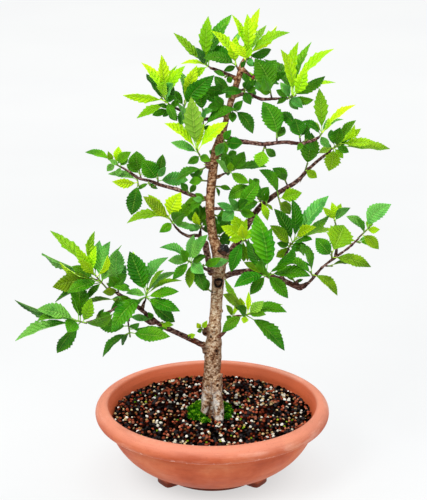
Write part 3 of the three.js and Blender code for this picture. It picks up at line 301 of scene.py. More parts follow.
# Leafy spurs: the two ends of the stem, its large leaves, and its small ones. A leaf is: share of the
# stem, bearing in the front view from +X in degrees, lean to the front in degrees, length, width, the
# turn of the face up to the sky in degrees, its tone and, where it isn't left to the draws, its sideways
# bow as a share of its length.
SPURS = {
    "low_left_tip": ([(-116, -51, 244), (-131, -54, 264)], [
        (0.85, 141, -25, 71, 21, 60, "Y", 0.01), (0.8, 170, -35, 77, 29, -75, "D", -0.14),
        (0.5, 151, 10, 49, 15, -70, "L"), (0.4, 183, 11, 53, 22, -15, "O", -0.09),
        (1, 87, -27, 45, 13, -50, "Y", 0.2), (0.9, 118, 12, 39, 12, 0, "L"),
        (0.8, 121, 35, 36, 11, 0, "L"), (0.95, 82, 5, 32, 10, 35, "L"), (0.7, 66, 30, 39, 12, -60, "L"),
        (0.5, 74, 0, 46, 17, 30, "T"), (0.8, 83, -35, 40, 15, 35, "T"),
        (0.35, 57, -44, 52, 18, 75, "M"), (0.5, 184, 49, 49, 15, 30, "M"),
        (0.35, 200, 14, 55, 21, 75, "D", -0.14), (0.35, 223, 40, 26, 10, 40, "M"),
    ], [
        (0.4, 55, -25, 18, 9, 0, "T"),
    ]),
    "low_left_middle": ([(-103, -48, 236), (-104, -51, 252)], [
        (0.9, 91, -22, 37, 19, 0, "T"), (0.8, 113, 3, 23, 10, 0, "T"),
    ], [
        (0.7, 121, 28, 17, 14, 0, "D"), (0.5, 20, 30, 16, 9, 0, "D"), (0.35, 182, 21, 18, 9, 0, "O"),
        (0.9, 59, -40, 22, 10, 0, "T"),
    ]),
    "low_left_front": ([(-138, -77, 213), (-147, -81, 217)], [
        (0.9, 163, -7, 72, 27, -75, "D", -0.04), (0.95, 154, 22, 49, 19, 40, "T", -0.02),
        (0.8, 165, 35, 52, 20, 75, "M", -0.05), (0.7, 194, 12, 72, 28, 70, "T", 0.09),
        (0.5, 234, -5, 47, 18, -40, "D", -0.07), (0.6, 95, -21, 43, 20, 15, "D"),
        (0.8, 104, 8, 39, 15, 75, "M"), (0.35, 71, 16, 35, 14, 0, "Y", -0.06),
        (0.35, 25, 26, 42, 16, -50, "M"),
    ], [
        (1, 216, 62, 22, 17, 0, "B"),
    ]),
    "low_left_drop": ([(-92, -68, 211), (-90, -76, 200)], [
        (0.9, 1, 18, 47, 18, 30, "M", -0.06), (0.6, 357, -12, 41, 16, -55, "D"),
        (0.9, 222, 8, 40, 15, 55, "D"), (0.35, 178, -12, 37, 16, 0, "M", 0.04),
    ], [
        (0.9, 244, -30, 25, 9, 45, "D"), (0.5, 41, 40, 21, 8, -35, "D"),
    ]),
    "low_left_spur": ([(-74, -39, 226), (-72, -38, 236)], [
        (0.5, 107, 12, 59, 22, 5, "B"), (0.9, 111, -22, 48, 14, -50, "L", -0.12),
        (0.95, 58, -8, 45, 17, 45, "T", 0.14), (0.8, 59, 25, 42, 13, 70, "Y"),
        (0.7, 29, -30, 44, 17, 60, "T", 0.14), (0.6, 21, -5, 42, 13, 65, "Y", 0.05),
        (0.35, 16, 18, 40, 15, 45, "M", 0), (0.35, 347, 30, 45, 17, 40, "B", -0.07),
        (0.35, 314, -10, 46, 18, 35, "D", -0.08), (0.5, 159, 35, 28, 11, 45, "T"),
        (0.35, 209, 56, 71, 20, 5, "B", -0.08), (0.35, 218, 50, 37, 14, 55, "D"),
    ], []),
    "front_rosette": ([(-21, -38, 268), (-26, -44, 273)], [
        (0.8, 155, -5, 36, 14, 50, "T", -0.19), (0.9, 168, 28, 26, 11, 0, "T", -0.06),
        (0.7, 81, -18, 30, 11, 15, "T"), (0.5, 62, 15, 41, 15, 40, "T"),
        (0.8, 222, 30, 28, 11, 20, "D"), (0.4, 266, 15, 28, 11, 20, "O"),
        (0.35, 294, 12, 34, 14, 0, "D"), (1, 112, 45, 30, 12, 30, "M"),
    ], [
        (0.4, 334, 48, 23, 14, 0, "T"), (0.5, 35, 35, 25, 10, 35, "D"),
    ]),
    "front_trunk_pair": ([(-11, -33, 261), (-10, -39, 266)], [
        (0.9, 34, 26, 26, 9, 0, "M"), (1, 12, -2, 29, 11, 25, "T"),
    ], []),
    "side_stem_tip": ([(-42, -5, 302), (-48, -8, 312)], [
        (0.7, 135, 12, 43, 16, 35, "O"), (0.9, 136, -25, 37, 11, -25, "L"),
        (1, 67, 20, 38, 19, 0, "L", 0.05), (0.8, 181, 15, 49, 15, 45, "Y", -0.12),
        (0.35, 47, 42, 28, 16, 0, "D"), (0.5, 44, -12, 34, 13, 0, "M"),
        (0.35, 353, 30, 31, 12, 50, "T"),
    ], [
        (0.4, 206, 45, 22, 10, 0, "M"),
    ]),
    "side_stem_fork": ([(-13, 8, 292), (-13, 10, 297)], [
        (0.8, 112, -32, 32, 15, 0, "M"), (0.7, 104, 38, 31, 9, -15, "L"),
        (0.9, 93, 10, 28, 11, 50, "M"),
    ], [
        (0.9, 79, -12, 21, 10, 0, "L"), (0.5, 187, -45, 21, 9, 0, "D"), (0.4, 344, -40, 17, 9, 0, "D"),
    ]),
    "left_tip": ([(-103, 27, 361), (-113, 27, 368)], [
        (1, 165, -15, 32, 12, 45, "M", -0.04), (0.35, 47, 20, 25, 11, 0, "M", 0.08),
    ], [
        (0.9, 106, 30, 17, 7, 0, "Y"), (0.5, 81, -8, 20, 11, 0, "L"), (0.6, 218, 38, 14, 8, 0, "T"),
    ]),
    "left_outer": ([(-85, 27, 350), (-83, 18, 344)], [
        (0.9, 258, 8, 37, 18, 0, "D"), (0.8, 170, 28, 32, 11, 0, "L", 0.06),
        (0.5, 172, -15, 35, 13, 50, "T"),
    ], []),
    "left_middle": ([(-80, 28, 347), (-82, 34, 353)], [
        (0.9, 98, -8, 25, 20, 0, "D"), (0.7, 154, -40, 23, 9, 0, "D"),
    ], [
        (0.5, 50, -35, 22, 10, 0, "M"),
    ]),
    "left_inner": ([(-61, 25, 342), (-61, 21, 352)], [
        (0.5, 124, 10, 30, 20, 0, "D"), (0.9, 77, -12, 26, 11, 0, "M"),
        (0.35, 358, -15, 35, 16, 0, "T"),
    ], [
        (0.8, 57, 28, 20, 8, 0, "T"),
    ]),
    "upper_left_low": ([(-12, -18, 383), (-16, -26, 393)], [
        (0.9, 96, 12, 65, 21, 0, "P"), (0.8, 134, 22, 55, 17, 50, "L", -0.05),
        (0.9, 48, 18, 51, 15, 20, "L", 0.06), (0.7, 159, -2, 32, 12, 35, "T"),
        (1, 115, -21, 58, 22, 65, "T", 0.06), (0.9, 76, -22, 31, 9, 20, "L"),
    ], [
        (0.35, 347, 48, 18, 9, 0, "M"), (0.35, 206, 35, 18, 9, 0, "M"),
    ]),
    "trunk_left_upper": ([(-6, -5, 370), (-10, -8, 368)], [
        (0.9, 203, 10, 33, 13, 40, "M", -0.1), (0.6, 222, -13, 16, 8, 0, "D"),
    ], []),
    "trunk_left_middle": ([(-6, -3, 353), (-10, -6, 354)], [
        (0.9, 185, 10, 16, 10, 0, "M", -0.06), (0.6, 159, -20, 19, 7, 20, "D"),
    ], []),
    "upper_left_tip": ([(-47, -6, 440), (-52, -9, 448)], [
        (0.9, 124, -12, 46, 14, 45, "L", -0.05), (0.95, 93, 8, 49, 15, 35, "L"),
        (1, 84, 40, 28, 14, 30, "L"), (0.8, 60, 12, 45, 13, 20, "L", 0.06),
        (1, 67, -22, 38, 12, 55, "Y"), (0.8, 132, -35, 38, 15, 55, "D", 0.12),
        (0.5, 169, 15, 49, 15, -55, "L", -0.08), (0.35, 203, 28, 40, 12, 35, "Y", 0.05),
        (0.35, 300, 42, 26, 10, 10, "M"), (0.35, 73, 45, 38, 15, 55, "T"),
    ], []),
    "upper_left_inner": ([(-31, -4, 432), (-30, -2, 440)], [
        (0.7, 99, -22, 39, 14, 40, "T", -0.08), (0.8, 72, -8, 45, 14, 0, "L"),
        (0.4, 51, 22, 56, 20, -25, "D", 0.1), (0.6, 134, -38, 26, 10, 0, "D"),
    ], [
        (0.5, 259, 32, 22, 10, 0, "T"),
    ]),
    "upper_left_base": ([(-10, -2, 425), (-10, -8, 433)], [
        (0.9, 96, 12, 33, 15, 0, "D"), (0.35, 2, -31, 42, 15, 55, "M", 0.04),
    ], [
        (0.6, 31, 42, 16, 7, 0, "T"),
    ]),
    "trunk_upper_left": ([(15, -3, 437), (11, -8, 440)], [
        (0.7, 142, -10, 30, 13, 0, "D"), (0.35, 128, 42, 25, 10, 0, "D"),
    ], [
        (0.9, 191, 15, 18, 10, 0, "D"),
    ]),
    "trunk_upper_right": ([(21, -3, 433), (24, -9, 434)], [
        (0.8, 311, 15, 33, 14, 0, "D", 0.12), (0.6, 53, 38, 22, 9, 0, "D"),
    ], [
        (0.35, 271, 40, 15, 9, 0, "M"),
    ]),
    "top_left_tip": ([(-3, 15, 477), (-7, 18, 479)], [
        (0.9, 134, 8, 51, 15, 45, "Y", 0.08), (1, 87, 5, 54, 16, 15, "Y", 0),
        (0.9, 117, 32, 29, 11, 35, "T"), (0.5, 178, -10, 30, 9, 50, "L", -0.12),
        (0.35, 211, 28, 27, 10, 0, "L"), (0.35, 64, -22, 63, 24, 50, "M", 0),
    ], [
        (0.7, 89, -38, 20, 15, 0, "D"),
    ]),
    "top_short": ([(27, 5, 479), (26, 10, 481)], [
        (0.7, 125, 10, 48, 14, 40, "L", -0.08), (1, 90, 28, 38, 14, 0, "L"),
        (0.9, 77, -38, 47, 18, 65, "T"), (0.5, 153, -33, 41, 19, 0, "D", 0),
        (0.35, 164, 14, 39, 15, 35, "M", -0.1),
    ], [
        (0.35, 195, 30, 17, 7, 0, "D"),
    ]),
    "top_tip": ([(36, -8, 490), (39, -10, 496)], [
        (0.9, 92, 15, 47, 15, 15, "L", 0), (1, 76, -12, 50, 15, 40, "L", -0.03),
        (0.9, 55, -27, 39, 11, 40, "P"), (0.8, 42, -23, 46, 13, -55, "L", 0),
        (0.6, 31, 10, 53, 16, 45, "Y", 0.03), (0.5, 9, -35, 33, 12, -40, "D"),
        (0.8, 111, 12, 49, 15, 55, "L", 0.05),
    ], [
        (0.35, 312, 45, 14, 6, 0, "T"),
    ]),
    "top_right_short": ([(44, -11, 470), (51, -13, 467)], [
        (0.9, 47, -20, 30, 15, 0, "D"), (0.9, 19, 5, 31, 12, -35, "D"),
        (0.8, 343, -35, 30, 11, 50, "T"),
    ], [
        (0.6, 297, 35, 16, 9, 0, "T"), (0.35, 231, 10, 15, 8, 0, "M"),
    ]),
    "upper_right_middle": ([(64, -20, 451), (62, -27, 460)], [
        (0.4, 114, 8, 44, 24, 0, "D", -0.09), (0.8, 109, 59, 57, 13, -5, "D"),
    ], [
        (0.5, 152, 38, 20, 10, 0, "D"),
    ]),
    "upper_right_inner": ([(35, -11, 454), (35, -16, 458)], [
        (0.5, 21, 24, 15, 8, -10, "M"), (0.35, 175, 22, 27, 10, 15, "B"),
    ], [
        (0.9, 68, 30, 16, 9, 0, "D"), (0.4, 298, 35, 17, 10, 0, "D"),
    ]),
    "upper_right_tip": ([(81, -23, 450), (87, -26, 453)], [
        (0.8, 104, 16, 58, 15, 35, "L", -0.04), (0.8, 84, -5, 59, 18, 50, "L"),
        (0.9, 69, -25, 64, 19, 60, "Y"), (1, 74, 37, 53, 14, 5, "L"),
        (0.9, 51, 5, 68, 20, 60, "L", 0.08), (0.8, 37, 20, 45, 17, -50, "M", 0.06),
        (0.8, 16, -12, 50, 15, 60, "L", 0.02), (0.6, 359, 24, 26, 11, -40, "M"),
        (0.35, 127, -38, 56, 21, 40, "D", -0.16),
    ], [
        (0.35, 331, 48, 23, 10, 0, "T"), (0.35, 118, 40, 25, 10, 25, "T"),
    ]),
    "right_inner": ([(70, -29, 404), (70, -22, 410)], [
        (0.5, 111, 5, 44, 23, 0, "D", -0.09), (0.4, 53, -35, 17, 9, 0, "D"),
    ], []),
    "right_under": ([(57, -24, 398), (56, -26, 395)], [
        (1, 254, 30, 21, 17, 0, "Y"), (0.6, 320, -20, 18, 9, 0, "M"),
    ], []),
    "right_middle": ([(95, -38, 406), (94, -34, 412)], [
        (0.6, 105, -3, 22, 18, 0, "D"), (0.9, 133, -38, 36, 14, -45, "D", -0.2),
    ], [
        (0.7, 45, -40, 22, 8, -25, "D"),
    ]),
    "right_tip": ([(114, -44, 412), (118, -45, 418)], [
        (0.8, 94, -8, 48, 15, 0, "Y"), (0.9, 44, 12, 48, 14, 60, "L", -0.03),
        (0.5, 139, 25, 30, 11, 40, "D", -0.03), (0.7, 27, -28, 31, 12, 55, "T", 0.1),
    ], [
        (0.9, 138, -30, 20, 6, 30, "P"), (1, 76, 35, 24, 7, -40, "L"), (0.4, 311, 38, 18, 9, 0, "T"),
    ]),
    "right_long_tip": ([(133, 34, 379), (143, 36, 386)], [
        (0.7, 84, 28, 27, 15, 15, "M"), (0.9, 58, 12, 35, 13, 45, "M"), (1, 62, 38, 39, 12, -55, "L"),
        (1, 30, -22, 31, 9, 0, "L"), (0.9, 7, 19, 44, 13, 35, "Y", -0.04),
        (0.7, 355, -5, 61, 23, 60, "O", -0.15), (0.35, 256, 30, 28, 19, 0, "Y"),
    ], [
        (0.9, 50, -12, 22, 12, 0, "D"), (0.35, 193, 25, 20, 8, 0, "P"), (0.5, 103, -45, 23, 9, 0, "D"),
    ]),
    "right_long_outer": ([(104, 27, 355), (106, 20, 365)], [
        (0.8, 84, 12, 42, 21, 0, "D"), (0.35, 329, 20, 16, 10, 0, "O"),
    ], []),
    "right_long_upper": ([(85, 23, 340), (81, 21, 349)], [
        (0.35, 132, 1, 24, 13, 0, "D", -0.15), (0.9, 114, 40, 14, 9, 0, "D"),
    ], []),
    "right_long_lower": ([(74, 20, 330), (76, 14, 323)], [
        (0.5, 20, 15, 28, 16, 0, "Y"), (0.35, 122, 18, 45, 15, 35, "D", -0.14),
    ], [
        (0.8, 314, 32, 20, 13, 0, "O"), (1, 338, -10, 11, 9, 0, "D"),
    ]),
    "right_long_inner": ([(56, 17, 322), (52, 8, 329)], [
        (0.4, 191, 20, 30, 13, 0, "D"), (0.7, 114, 6, 29, 11, 0, "M"),
    ], [
        (0.8, 61, 25, 22, 8, 35, "M"), (0.35, 292, 35, 24, 9, 0, "L"), (0.9, 93, -38, 19, 8, 0, "D"),
    ]),
    "middle_stub": ([(14, 9, 358), (22, 11, 361)], [
        (0.9, 55, -12, 26, 14, 0, "D"), (1, 8, 5, 39, 15, 50, "D", 0.05),
        (0.7, 334, 25, 26, 11, 0, "M"), (0.35, 123, 37, 29, 10, 50, "T"),
    ], [
        (0.8, 91, 32, 15, 8, 0, "Y"), (0.4, 103, -30, 25, 11, 0, "D"),
    ]),
    "trunk_bright_leaf": ([(12, -3, 399), (15, -9, 398)], [
        (0.4, 1, 29, 23, 14, 0, "B"), (0.6, 236, 28, 19, 10, 0, "T"),
    ], [
        (0.35, 62, 25, 18, 8, 0, "B"),
    ]),
    "middle_right": ([(22, -24, 326), (29, -28, 326)], [
        (0.8, 56, 8, 43, 16, 0, "M"), (0.8, 58, 48, 32, 12, 35, "D"),
    ], [
        (0.6, 153, 20, 25, 9, 20, "T"), (0.8, 119, 35, 25, 10, 25, "T"), (0.5, 211, 30, 20, 13, 0, "T"),
        (1, 349, 20, 19, 10, 0, "M"),
    ]),
    "front_lime": ([(33, 5, 287), (35, -22, 290)], [
        (0.9, 147, 3, 30, 13, 0, "L"), (0.8, 117, -10, 31, 14, 0, "L"), (1, 97, 48, 41, 12, 0, "L"),
        (0.9, 83, 22, 31, 9, 35, "L"), (0.8, 249, 12, 39, 15, 25, "B", 0),
        (0.6, 273, -15, 31, 10, 0, "Y"), (0.7, 312, 30, 36, 14, 55, "D"),
    ], [
        (1, 60, 30, 23, 9, 0, "L"), (0.9, 166, 38, 22, 9, 0, "L"),
    ]),
    "low_right_rosette": ([(57, -37, 256), (61, -50, 258)], [
        (0.6, 99, 10, 76, 29, -35, "B", -0.1), (0.4, 82, -15, 52, 20, 45, "M"),
        (0.8, 55, 25, 56, 21, -60, "B"), (0.9, 7, 22, 50, 19, 45, "B", 0.04),
        (0.6, 318, 28, 36, 14, 0, "B", 0.05), (0.7, 228, 15, 28, 12, 0, "M"),
        (0.8, 192, 25, 41, 15, 30, "B", -0.06), (0.5, 154, -19, 28, 11, 35, "O"),
        (0.6, 117, -12, 45, 17, -65, "D"), (1, 104, 50, 51, 19, -60, "M"),
    ], []),
    "low_right_spur": ([(85, -21, 281), (92, -16, 289)], [
        (0.9, 94, 5, 49, 19, 45, "B"), (1, 52, -10, 61, 23, 50, "T", 0),
        (0.9, 41, 12, 51, 19, -60, "M", 0.03), (1, 45, 38, 39, 12, 30, "L"),
        (0.8, 9, -22, 51, 15, 60, "P", 0.05), (0.7, 28, 48, 33, 13, 60, "D"),
        (0.6, 119, -12, 43, 16, 30, "D", -0.03), (0.35, 133, 15, 36, 14, 25, "O"),
        (0.35, 228, -25, 26, 10, 0, "Y"), (0.5, 308, -35, 30, 11, 45, "M"),
    ], [
        (0.35, 11, 30, 19, 7, 25, "D"),
    ]),
    "low_right_middle": ([(110, -59, 260), (107, -69, 268)], [
        (0.7, 110, 10, 39, 15, 50, "M", -0.1), (0.6, 323, 18, 36, 14, 40, "O", 0.12),
        (0.35, 152, -22, 36, 14, 50, "D", -0.06),
    ], []),
    "low_right_outer": ([(130, -60, 280), (129, -68, 290)], [
        (0.5, 131, -3, 27, 17, 0, "D"), (0.35, 351, 18, 44, 17, 40, "O", -0.01),
        (0.9, 59, -44, 39, 31, 0, "Y"),
    ], []),
    "low_right_tip": ([(158, -66, 307), (167, -68, 317)], [
        (1, 51, 8, 38, 18, 0, "T", 0.18), (0.7, 142, -12, 26, 10, 15, "T", -0.1),
        (0.6, 117, 35, 27, 10, 45, "D"),
    ], [
        (0.9, 13, 32, 16, 8, 0, "L"), (0.35, 322, 20, 24, 12, 0, "O", 0.05),
        (0.9, 69, -30, 13, 8, 0, "Y"),
    ]),
    "low_right_fork": ([(138, -25, 303), (135, -16, 313)], [
        (0.9, 129, 22, 24, 8, 0, "L"), (0.7, 47, 7, 24, 9, 0, "T", 0.15),
    ], [
        (0.9, 100, 8, 22, 9, 0, "L"), (1, 63, -25, 19, 8, 0, "L"), (0.35, 341, 35, 14, 7, 15, "D"),
    ]),
    "front_low": ([(31, -60, 215), (40, -66, 219)], [
        (0.9, 9, 15, 44, 17, 50, "D", 0.1), (0.7, 8, -22, 44, 13, 60, "Y", 0.05),
        (0.6, 319, 12, 58, 22, 45, "D", 0.05), (1, 13, 35, 23, 10, 40, "M"),
        (1, 51, 25, 28, 12, 0, "P"), (0.7, 119, 48, 32, 12, 35, "D"), (0.4, 122, 40, 57, 14, 45, "O"),
        (0.5, 118, -5, 46, 14, -55, "Y", -0.08), (0.35, 214, 22, 30, 12, 0, "M"),
    ], [
        (0.9, 88, -15, 25, 7, -30, "L"), (0.5, 106, -28, 20, 9, 0, "L"), (0.6, 257, 35, 10, 8, 0, "L"),
    ]),
    "trunk_low_sprout": ([(-10, -22, 183), (-12, -28, 188)], [
        (0.9, 124, 15, 10, 6, 0, "L"), (1, 61, 20, 14, 6, 0, "L"),
    ], [
        (0.5, 188, 30, 7, 5, 0, "M"),
    ]),
    "middle_back": ([(10, 38, 282), (14, 46, 280)], [
        (0.5, 222, -45, 33, 12, 40, "M"), (0.9, 98, -60, 35, 13, -45, "M"),
    ], [
        (0.9, 63, -25, 19, 10, 0, "D"), (1, 355, -15, 16, 9, 0, "L"), (0.8, 288, -20, 21, 10, 0, "D"),
        (0.6, 149, -40, 25, 10, 0, "D"),
    ]),
    "upper_back": ([(38, 35, 450), (42, 44, 451)], [
        (0.9, 49, -15, 24, 11, 0, "D"), (0.9, 356, -35, 26, 10, 0, "D"),
    ], [
        (0.8, 111, -30, 22, 10, 0, "M"), (0.7, 287, -25, 19, 9, 0, "T"), (1, 88, -55, 20, 9, 0, "L"),
    ]),
    "trunk_back": ([(12, 35, 369), (16, 44, 368)], [
        (0.8, 277, -25, 27, 10, -30, "M"), (0.5, 221, -55, 51, 15, 55, "L"),
    ], [
        (0.9, 25, -20, 14, 10, 0, "D"), (0.8, 103, -35, 21, 10, 0, "M"), (0.9, 328, -30, 19, 9, 0, "D"),
        (0.6, 167, -40, 24, 10, 0, "D"),
    ]),
}

# More young growth and hidden leaves, which only this picture shows: stem and leaves, as above.
SHOOTS = {
    "low_left_dark": ([(-112.2, -51, 244.2), (-113.7, -52.5, 247.6)], [
        (1, 31, -8, 24, 12, 0, "D"), (0.5, 354, 20, 26, 10, 40, "M"), (1, 51, -25, 20, 10, 0, "D"),
        (0.3, 49, -30, 31, 12, 35, "T"),
    ]),
    "low_left_under": ([(-89.7, -45, 227.5), (-91.8, -48, 226.8)], [
        (1, 198, 20, 22, 13, 0, "D"), (0.6, 168, 10, 20, 10, 0, "T"), (0.8, 134, 35, 17, 7, 0, "M"),
    ]),
    "low_left_thin": ([(-102.7, -48, 231.5), (-104.8, -51, 230.8)], [
        (1, 191, 6, 45, 17, 75, "O", -0.02),
    ]),
    "low_left_stub": ([(-64.8, -39, 202.3), (-66.9, -40.5, 204.1)], [
        (1, 171, 8, 24, 9, 30, "T"), (0.6, 116, 20, 12, 6, 0, "D"),
    ]),
    "low_left_bright": ([(-58.2, -37.5, 198.2), (-56.4, -40.5, 199.9)], [
        (1, 352, 12, 14, 6, 0, "Y"), (0.5, 318, 25, 10, 4, 0, "L"),
    ]),
    "low_left_left": ([(-126, -54, 254.5), (-129.2, -55.5, 256.2)], [
        (1, 146, 5, 28, 12, 0, "M", -0.05), (1, 213, 28, 20, 8, 0, "T"), (0.8, 225, 35, 12, 5, 0, "D"),
    ]),
    "low_left_twigend": ([(-126.7, -72, 214.5), (-125.4, -73.5, 218.5)], [
        (1, 26, 22, 19, 8, 0, "M"), (0.6, 53, 5, 14, 5, 0, "D"),
    ]),
    "lone_bright": ([(-28.4, -25.5, 176.3), (-26.7, -27, 177.5)], [
        (1, 31, 25, 10, 6, 0, "L"), (0.8, 58, 20, 6, 3, 0, "L"),
    ]),
    "middle_long": ([(56, 15, 322.4), (44.6, 13.5, 344.3)], [
        (1, 210, 8, 31, 15, 0, "M", -0.05), (1, 36, 0, 10, 8, 0, "M"), (0.95, 119, -10, 8, 6, 0, "D"),
        (0.55, 179, -30, 21, 10, 0, "D"),
    ]),
    "middle_dark": ([(-0.2, 6, 288.7), (7.7, 16.5, 282.5)], [
        (1, 76, -10, 17, 9, 0, "D"), (1, 315, -10, 13, 9, 0, "D"), (1, 1, -20, 15, 8, 0, "D"),
        (0.6, 94, -5, 12, 7, 0, "D"), (0.8, 264, -10, 13, 6, 0, "M"),
    ]),
    "middle_dark_high": ([(-1.3, 3, 314.2), (4.3, 13.5, 308.2)], [
        (1, 321, -20, 16, 8, 0, "D"), (0.8, 265, -10, 13, 7, 0, "D"), (1, 3, -20, 16, 7, 0, "M"),
    ]),
    "front_lime_under": ([(37.8, -7.5, 285.3), (38.9, -10.5, 284.5)], [
        (1, 306, 12, 29, 11, 60, "D", 0.04), (0.5, 273, 5, 23, 7, 10, "Y"),
        (0.7, 306, -10, 16, 7, 0, "M"),
    ]),
    "trunk_top_left": ([(21.6, -3, 451.9), (19.4, -7.5, 453.7)], [
        (1, 133, 6, 25, 12, 0, "D", 0.05), (0.9, 171, 2, 30, 12, -40, "D", -0.05),
        (0.7, 131, 25, 16, 7, 0, "M"), (0.3, 217, 30, 9, 7, 0, "M"),
    ]),
    "upper_left_cross": ([(-10, -6, 423.7), (-9.4, -12, 416.7)], [
        (1, 30, 6, 41, 16, 45, "M", 0.07), (0.3, 78, 5, 15, 6, 20, "T"), (0.9, 326, 10, 10, 8, 0, "D"),
    ]),
    "upper_left_low_left": ([(-44.8, -6, 437), (-47.4, -9, 435.4)], [
        (1, 199, 12, 19, 8, 0, "M"), (0.8, 305, 18, 16, 9, 0, "M"), (0.9, 232, 25, 11, 7, 0, "D"),
        (0.4, 157, 30, 16, 6, 25, "D"), (0.5, 36, 20, 16, 7, 0, "M"),
    ]),
    "upper_left_dark": ([(-50.1, -6, 442.5), (-53.3, -7.5, 445.1)], [
        (1, 127, -20, 24, 9, 45, "D"), (1, 110, -35, 20, 8, -30, "D"), (0.6, 54, -30, 20, 9, 0, "D"),
        (0.5, 26, 30, 16, 7, 0, "M"),
    ]),
    "upper_right_dark": ([(81.6, -22.5, 450), (84.1, -25.5, 452.4)], [
        (1, 126, -12, 19, 8, 0, "T"), (0.8, 152, 0, 17, 8, 0, "D"), (0.6, 128, -35, 13, 6, 0, "D"),
        (0.3, 312, 30, 17, 9, 0, "T"), (0.2, 202, 25, 15, 6, 20, "D"),
    ]),
    "left_twig_mid": ([(-24.8, 13.5, 332.1), (-26.5, 12, 335.5)], [
        (1, 127, 0, 14, 8, 0, "D"), (0.6, 53, -15, 13, 7, 0, "M"),
    ]),
    "left_near_trunk": ([(-6.9, 4.5, 329.5), (-9.6, -1.5, 330)], [
        (1, 187, 8, 21, 8, 20, "M"), (0.8, 205, 25, 20, 8, 0, "D"), (0.5, 141, 10, 14, 6, 0, "M"),
        (0.9, 163, 30, 14, 7, 0, "T"),
    ]),
    "side_inner": ([(-10.3, 0, 296.4), (-14.2, 4.5, 303.3)], [
        (1, 146, -5, 18, 10, 0, "D"), (0.8, 76, -15, 20, 8, 0, "M"), (1, 105, -28, 18, 9, 0, "D"),
        (0.5, 190, 25, 14, 8, 0, "T"), (0.4, 28, -30, 11, 7, 0, "D"),
    ]),
    "right_fork_dark": ([(97.7, -37.5, 405), (99.8, -39, 407)], [
        (1, 319, 12, 14, 8, 0, "D"), (0.5, 229, 20, 12, 6, 0, "M"), (0.8, 62, -25, 13, 6, 0, "D"),
    ]),
    "right_tip_dense": ([(133.7, 34.5, 379.4), (139.2, 34.5, 382.3)], [
        (1, 341, 20, 16, 9, 0, "M", 0.04), (0.6, 315, 28, 16, 9, 0, "Y"), (0.9, 38, -20, 18, 8, 0, "D"),
        (0.3, 144, 10, 12, 6, 0, "M"), (1, 81, -20, 16, 8, 0, "M"),
    ]),
    "right_long_bits": ([(60.5, 16.5, 324), (61, 12, 322.1)], [
        (1, 256, 20, 13, 6, 0, "L"), (0.7, 316, 25, 11, 4, 0, "Y"), (0.9, 84, 5, 20, 7, 40, "M"),
        (0.4, 122, 15, 16, 7, 0, "M"),
    ]),
    "right_spur_dark": ([(84.1, -22.5, 278.9), (85.8, -21, 283.1)], [
        (1, 163, 10, 15, 8, 0, "D"), (1, 343, 20, 14, 7, 0, "D"), (0.7, 114, -28, 18, 8, 0, "D"),
        (0.4, 290, -20, 21, 8, 30, "D"),
    ]),
    "low_right_thin": ([(78.3, -34.5, 259.5), (77.8, -33, 264.9)], [
        (1, 358, 5, 33, 12, 70, "D", 0.12), (0.9, 5, 10, 21, 6, -70, "Y"),
    ]),
    "low_right_corner": ([(92.1, -49.5, 248.3), (89.9, -49.5, 251.8)], [
        (1, 140, 10, 12, 5, 15, "M"), (0.6, 23, 10, 10, 4, 25, "M"),
    ]),
    "low_right_tip_low": ([(155.2, -64.5, 301.9), (156.7, -66, 301.8)], [
        (1, 343, 10, 24, 9, 35, "M", 0.08), (0.8, 0, -15, 22, 8, 40, "T", 0.1),
    ]),
    "low_right_low_leaf": ([(125, -58.5, 272.1), (127.6, -60, 272.6)], [
        (1, 4, 5, 35, 13, 65, "O", 0.08),
    ]),
    "front_trunk_small": ([(-0.2, -19.5, 228.5), (-3.5, -25.5, 233)], [
        (1, 111, 8, 17, 8, 0, "D"), (0.6, 143, 18, 17, 8, 0, "D"),
    ]),
    "low_front_twig": ([(20.9, -49.5, 205), (23, -54, 210.8)], [
        (1, 116, 10, 18, 7, 35, "O"), (0.6, 145, 25, 9, 6, 0, "M"), (1, 65, 5, 19, 6, 40, "L"),
        (0.4, 304, 30, 10, 6, 0, "M"),
    ]),
    "top_left_under": ([(17.3, 4.5, 470.2), (15.1, -1.5, 469.7)], [
        (1, 153, 20, 16, 6, 25, "M"), (0.6, 301, 10, 9, 7, 0, "D"),
    ]),
    "top_dense": ([(34.4, -7.5, 486.2), (36.4, -12, 489.8)], [
        (1, 114, 12, 20, 8, 0, "L"), (1, 67, 18, 17, 6, 0, "L"), (0.8, 235, 30, 10, 5, 0, "D"),
        (0.5, 348, 30, 15, 6, 0, "T"), (0.9, 89, 5, 22, 9, 0, "L"), (1, 131, -5, 28, 8, -25, "L"),
    ]),
    "trunk_mid_right": ([(0.9, 1.5, 345.9), (6.5, 7.5, 343.7)], [
        (1, 349, 10, 15, 6, 10, "M"), (0.5, 289, 10, 12, 5, 45, "M"),
    ]),
    "left_tip_small": ([(-101.3, 27, 360.4), (-104.5, 24, 363)], [
        (1, 141, 15, 14, 6, 0, "T"), (0.7, 45, -10, 13, 8, 0, "D"), (0.5, 249, 30, 12, 7, 0, "T"),
    ]),
    "left_under": ([(-72.3, 27, 345.3), (-71.1, 24, 343.2)], [
        (1, 207, 15, 15, 6, 35, "M"), (0.6, 326, 15, 13, 5, -25, "D"),
    ]),
}


# Nodes

def shade(code):
    """A colour as it looks on a screen, such as "c9714f", as a linear one."""
    parts = [int(code[k:k + 2], 16) / 255 for k in (0, 2, 4)]
    return (*[p / 12.92 if p < 0.04045 else ((p + 0.055) / 1.055) ** 2.4 for p in parts], 1.0)


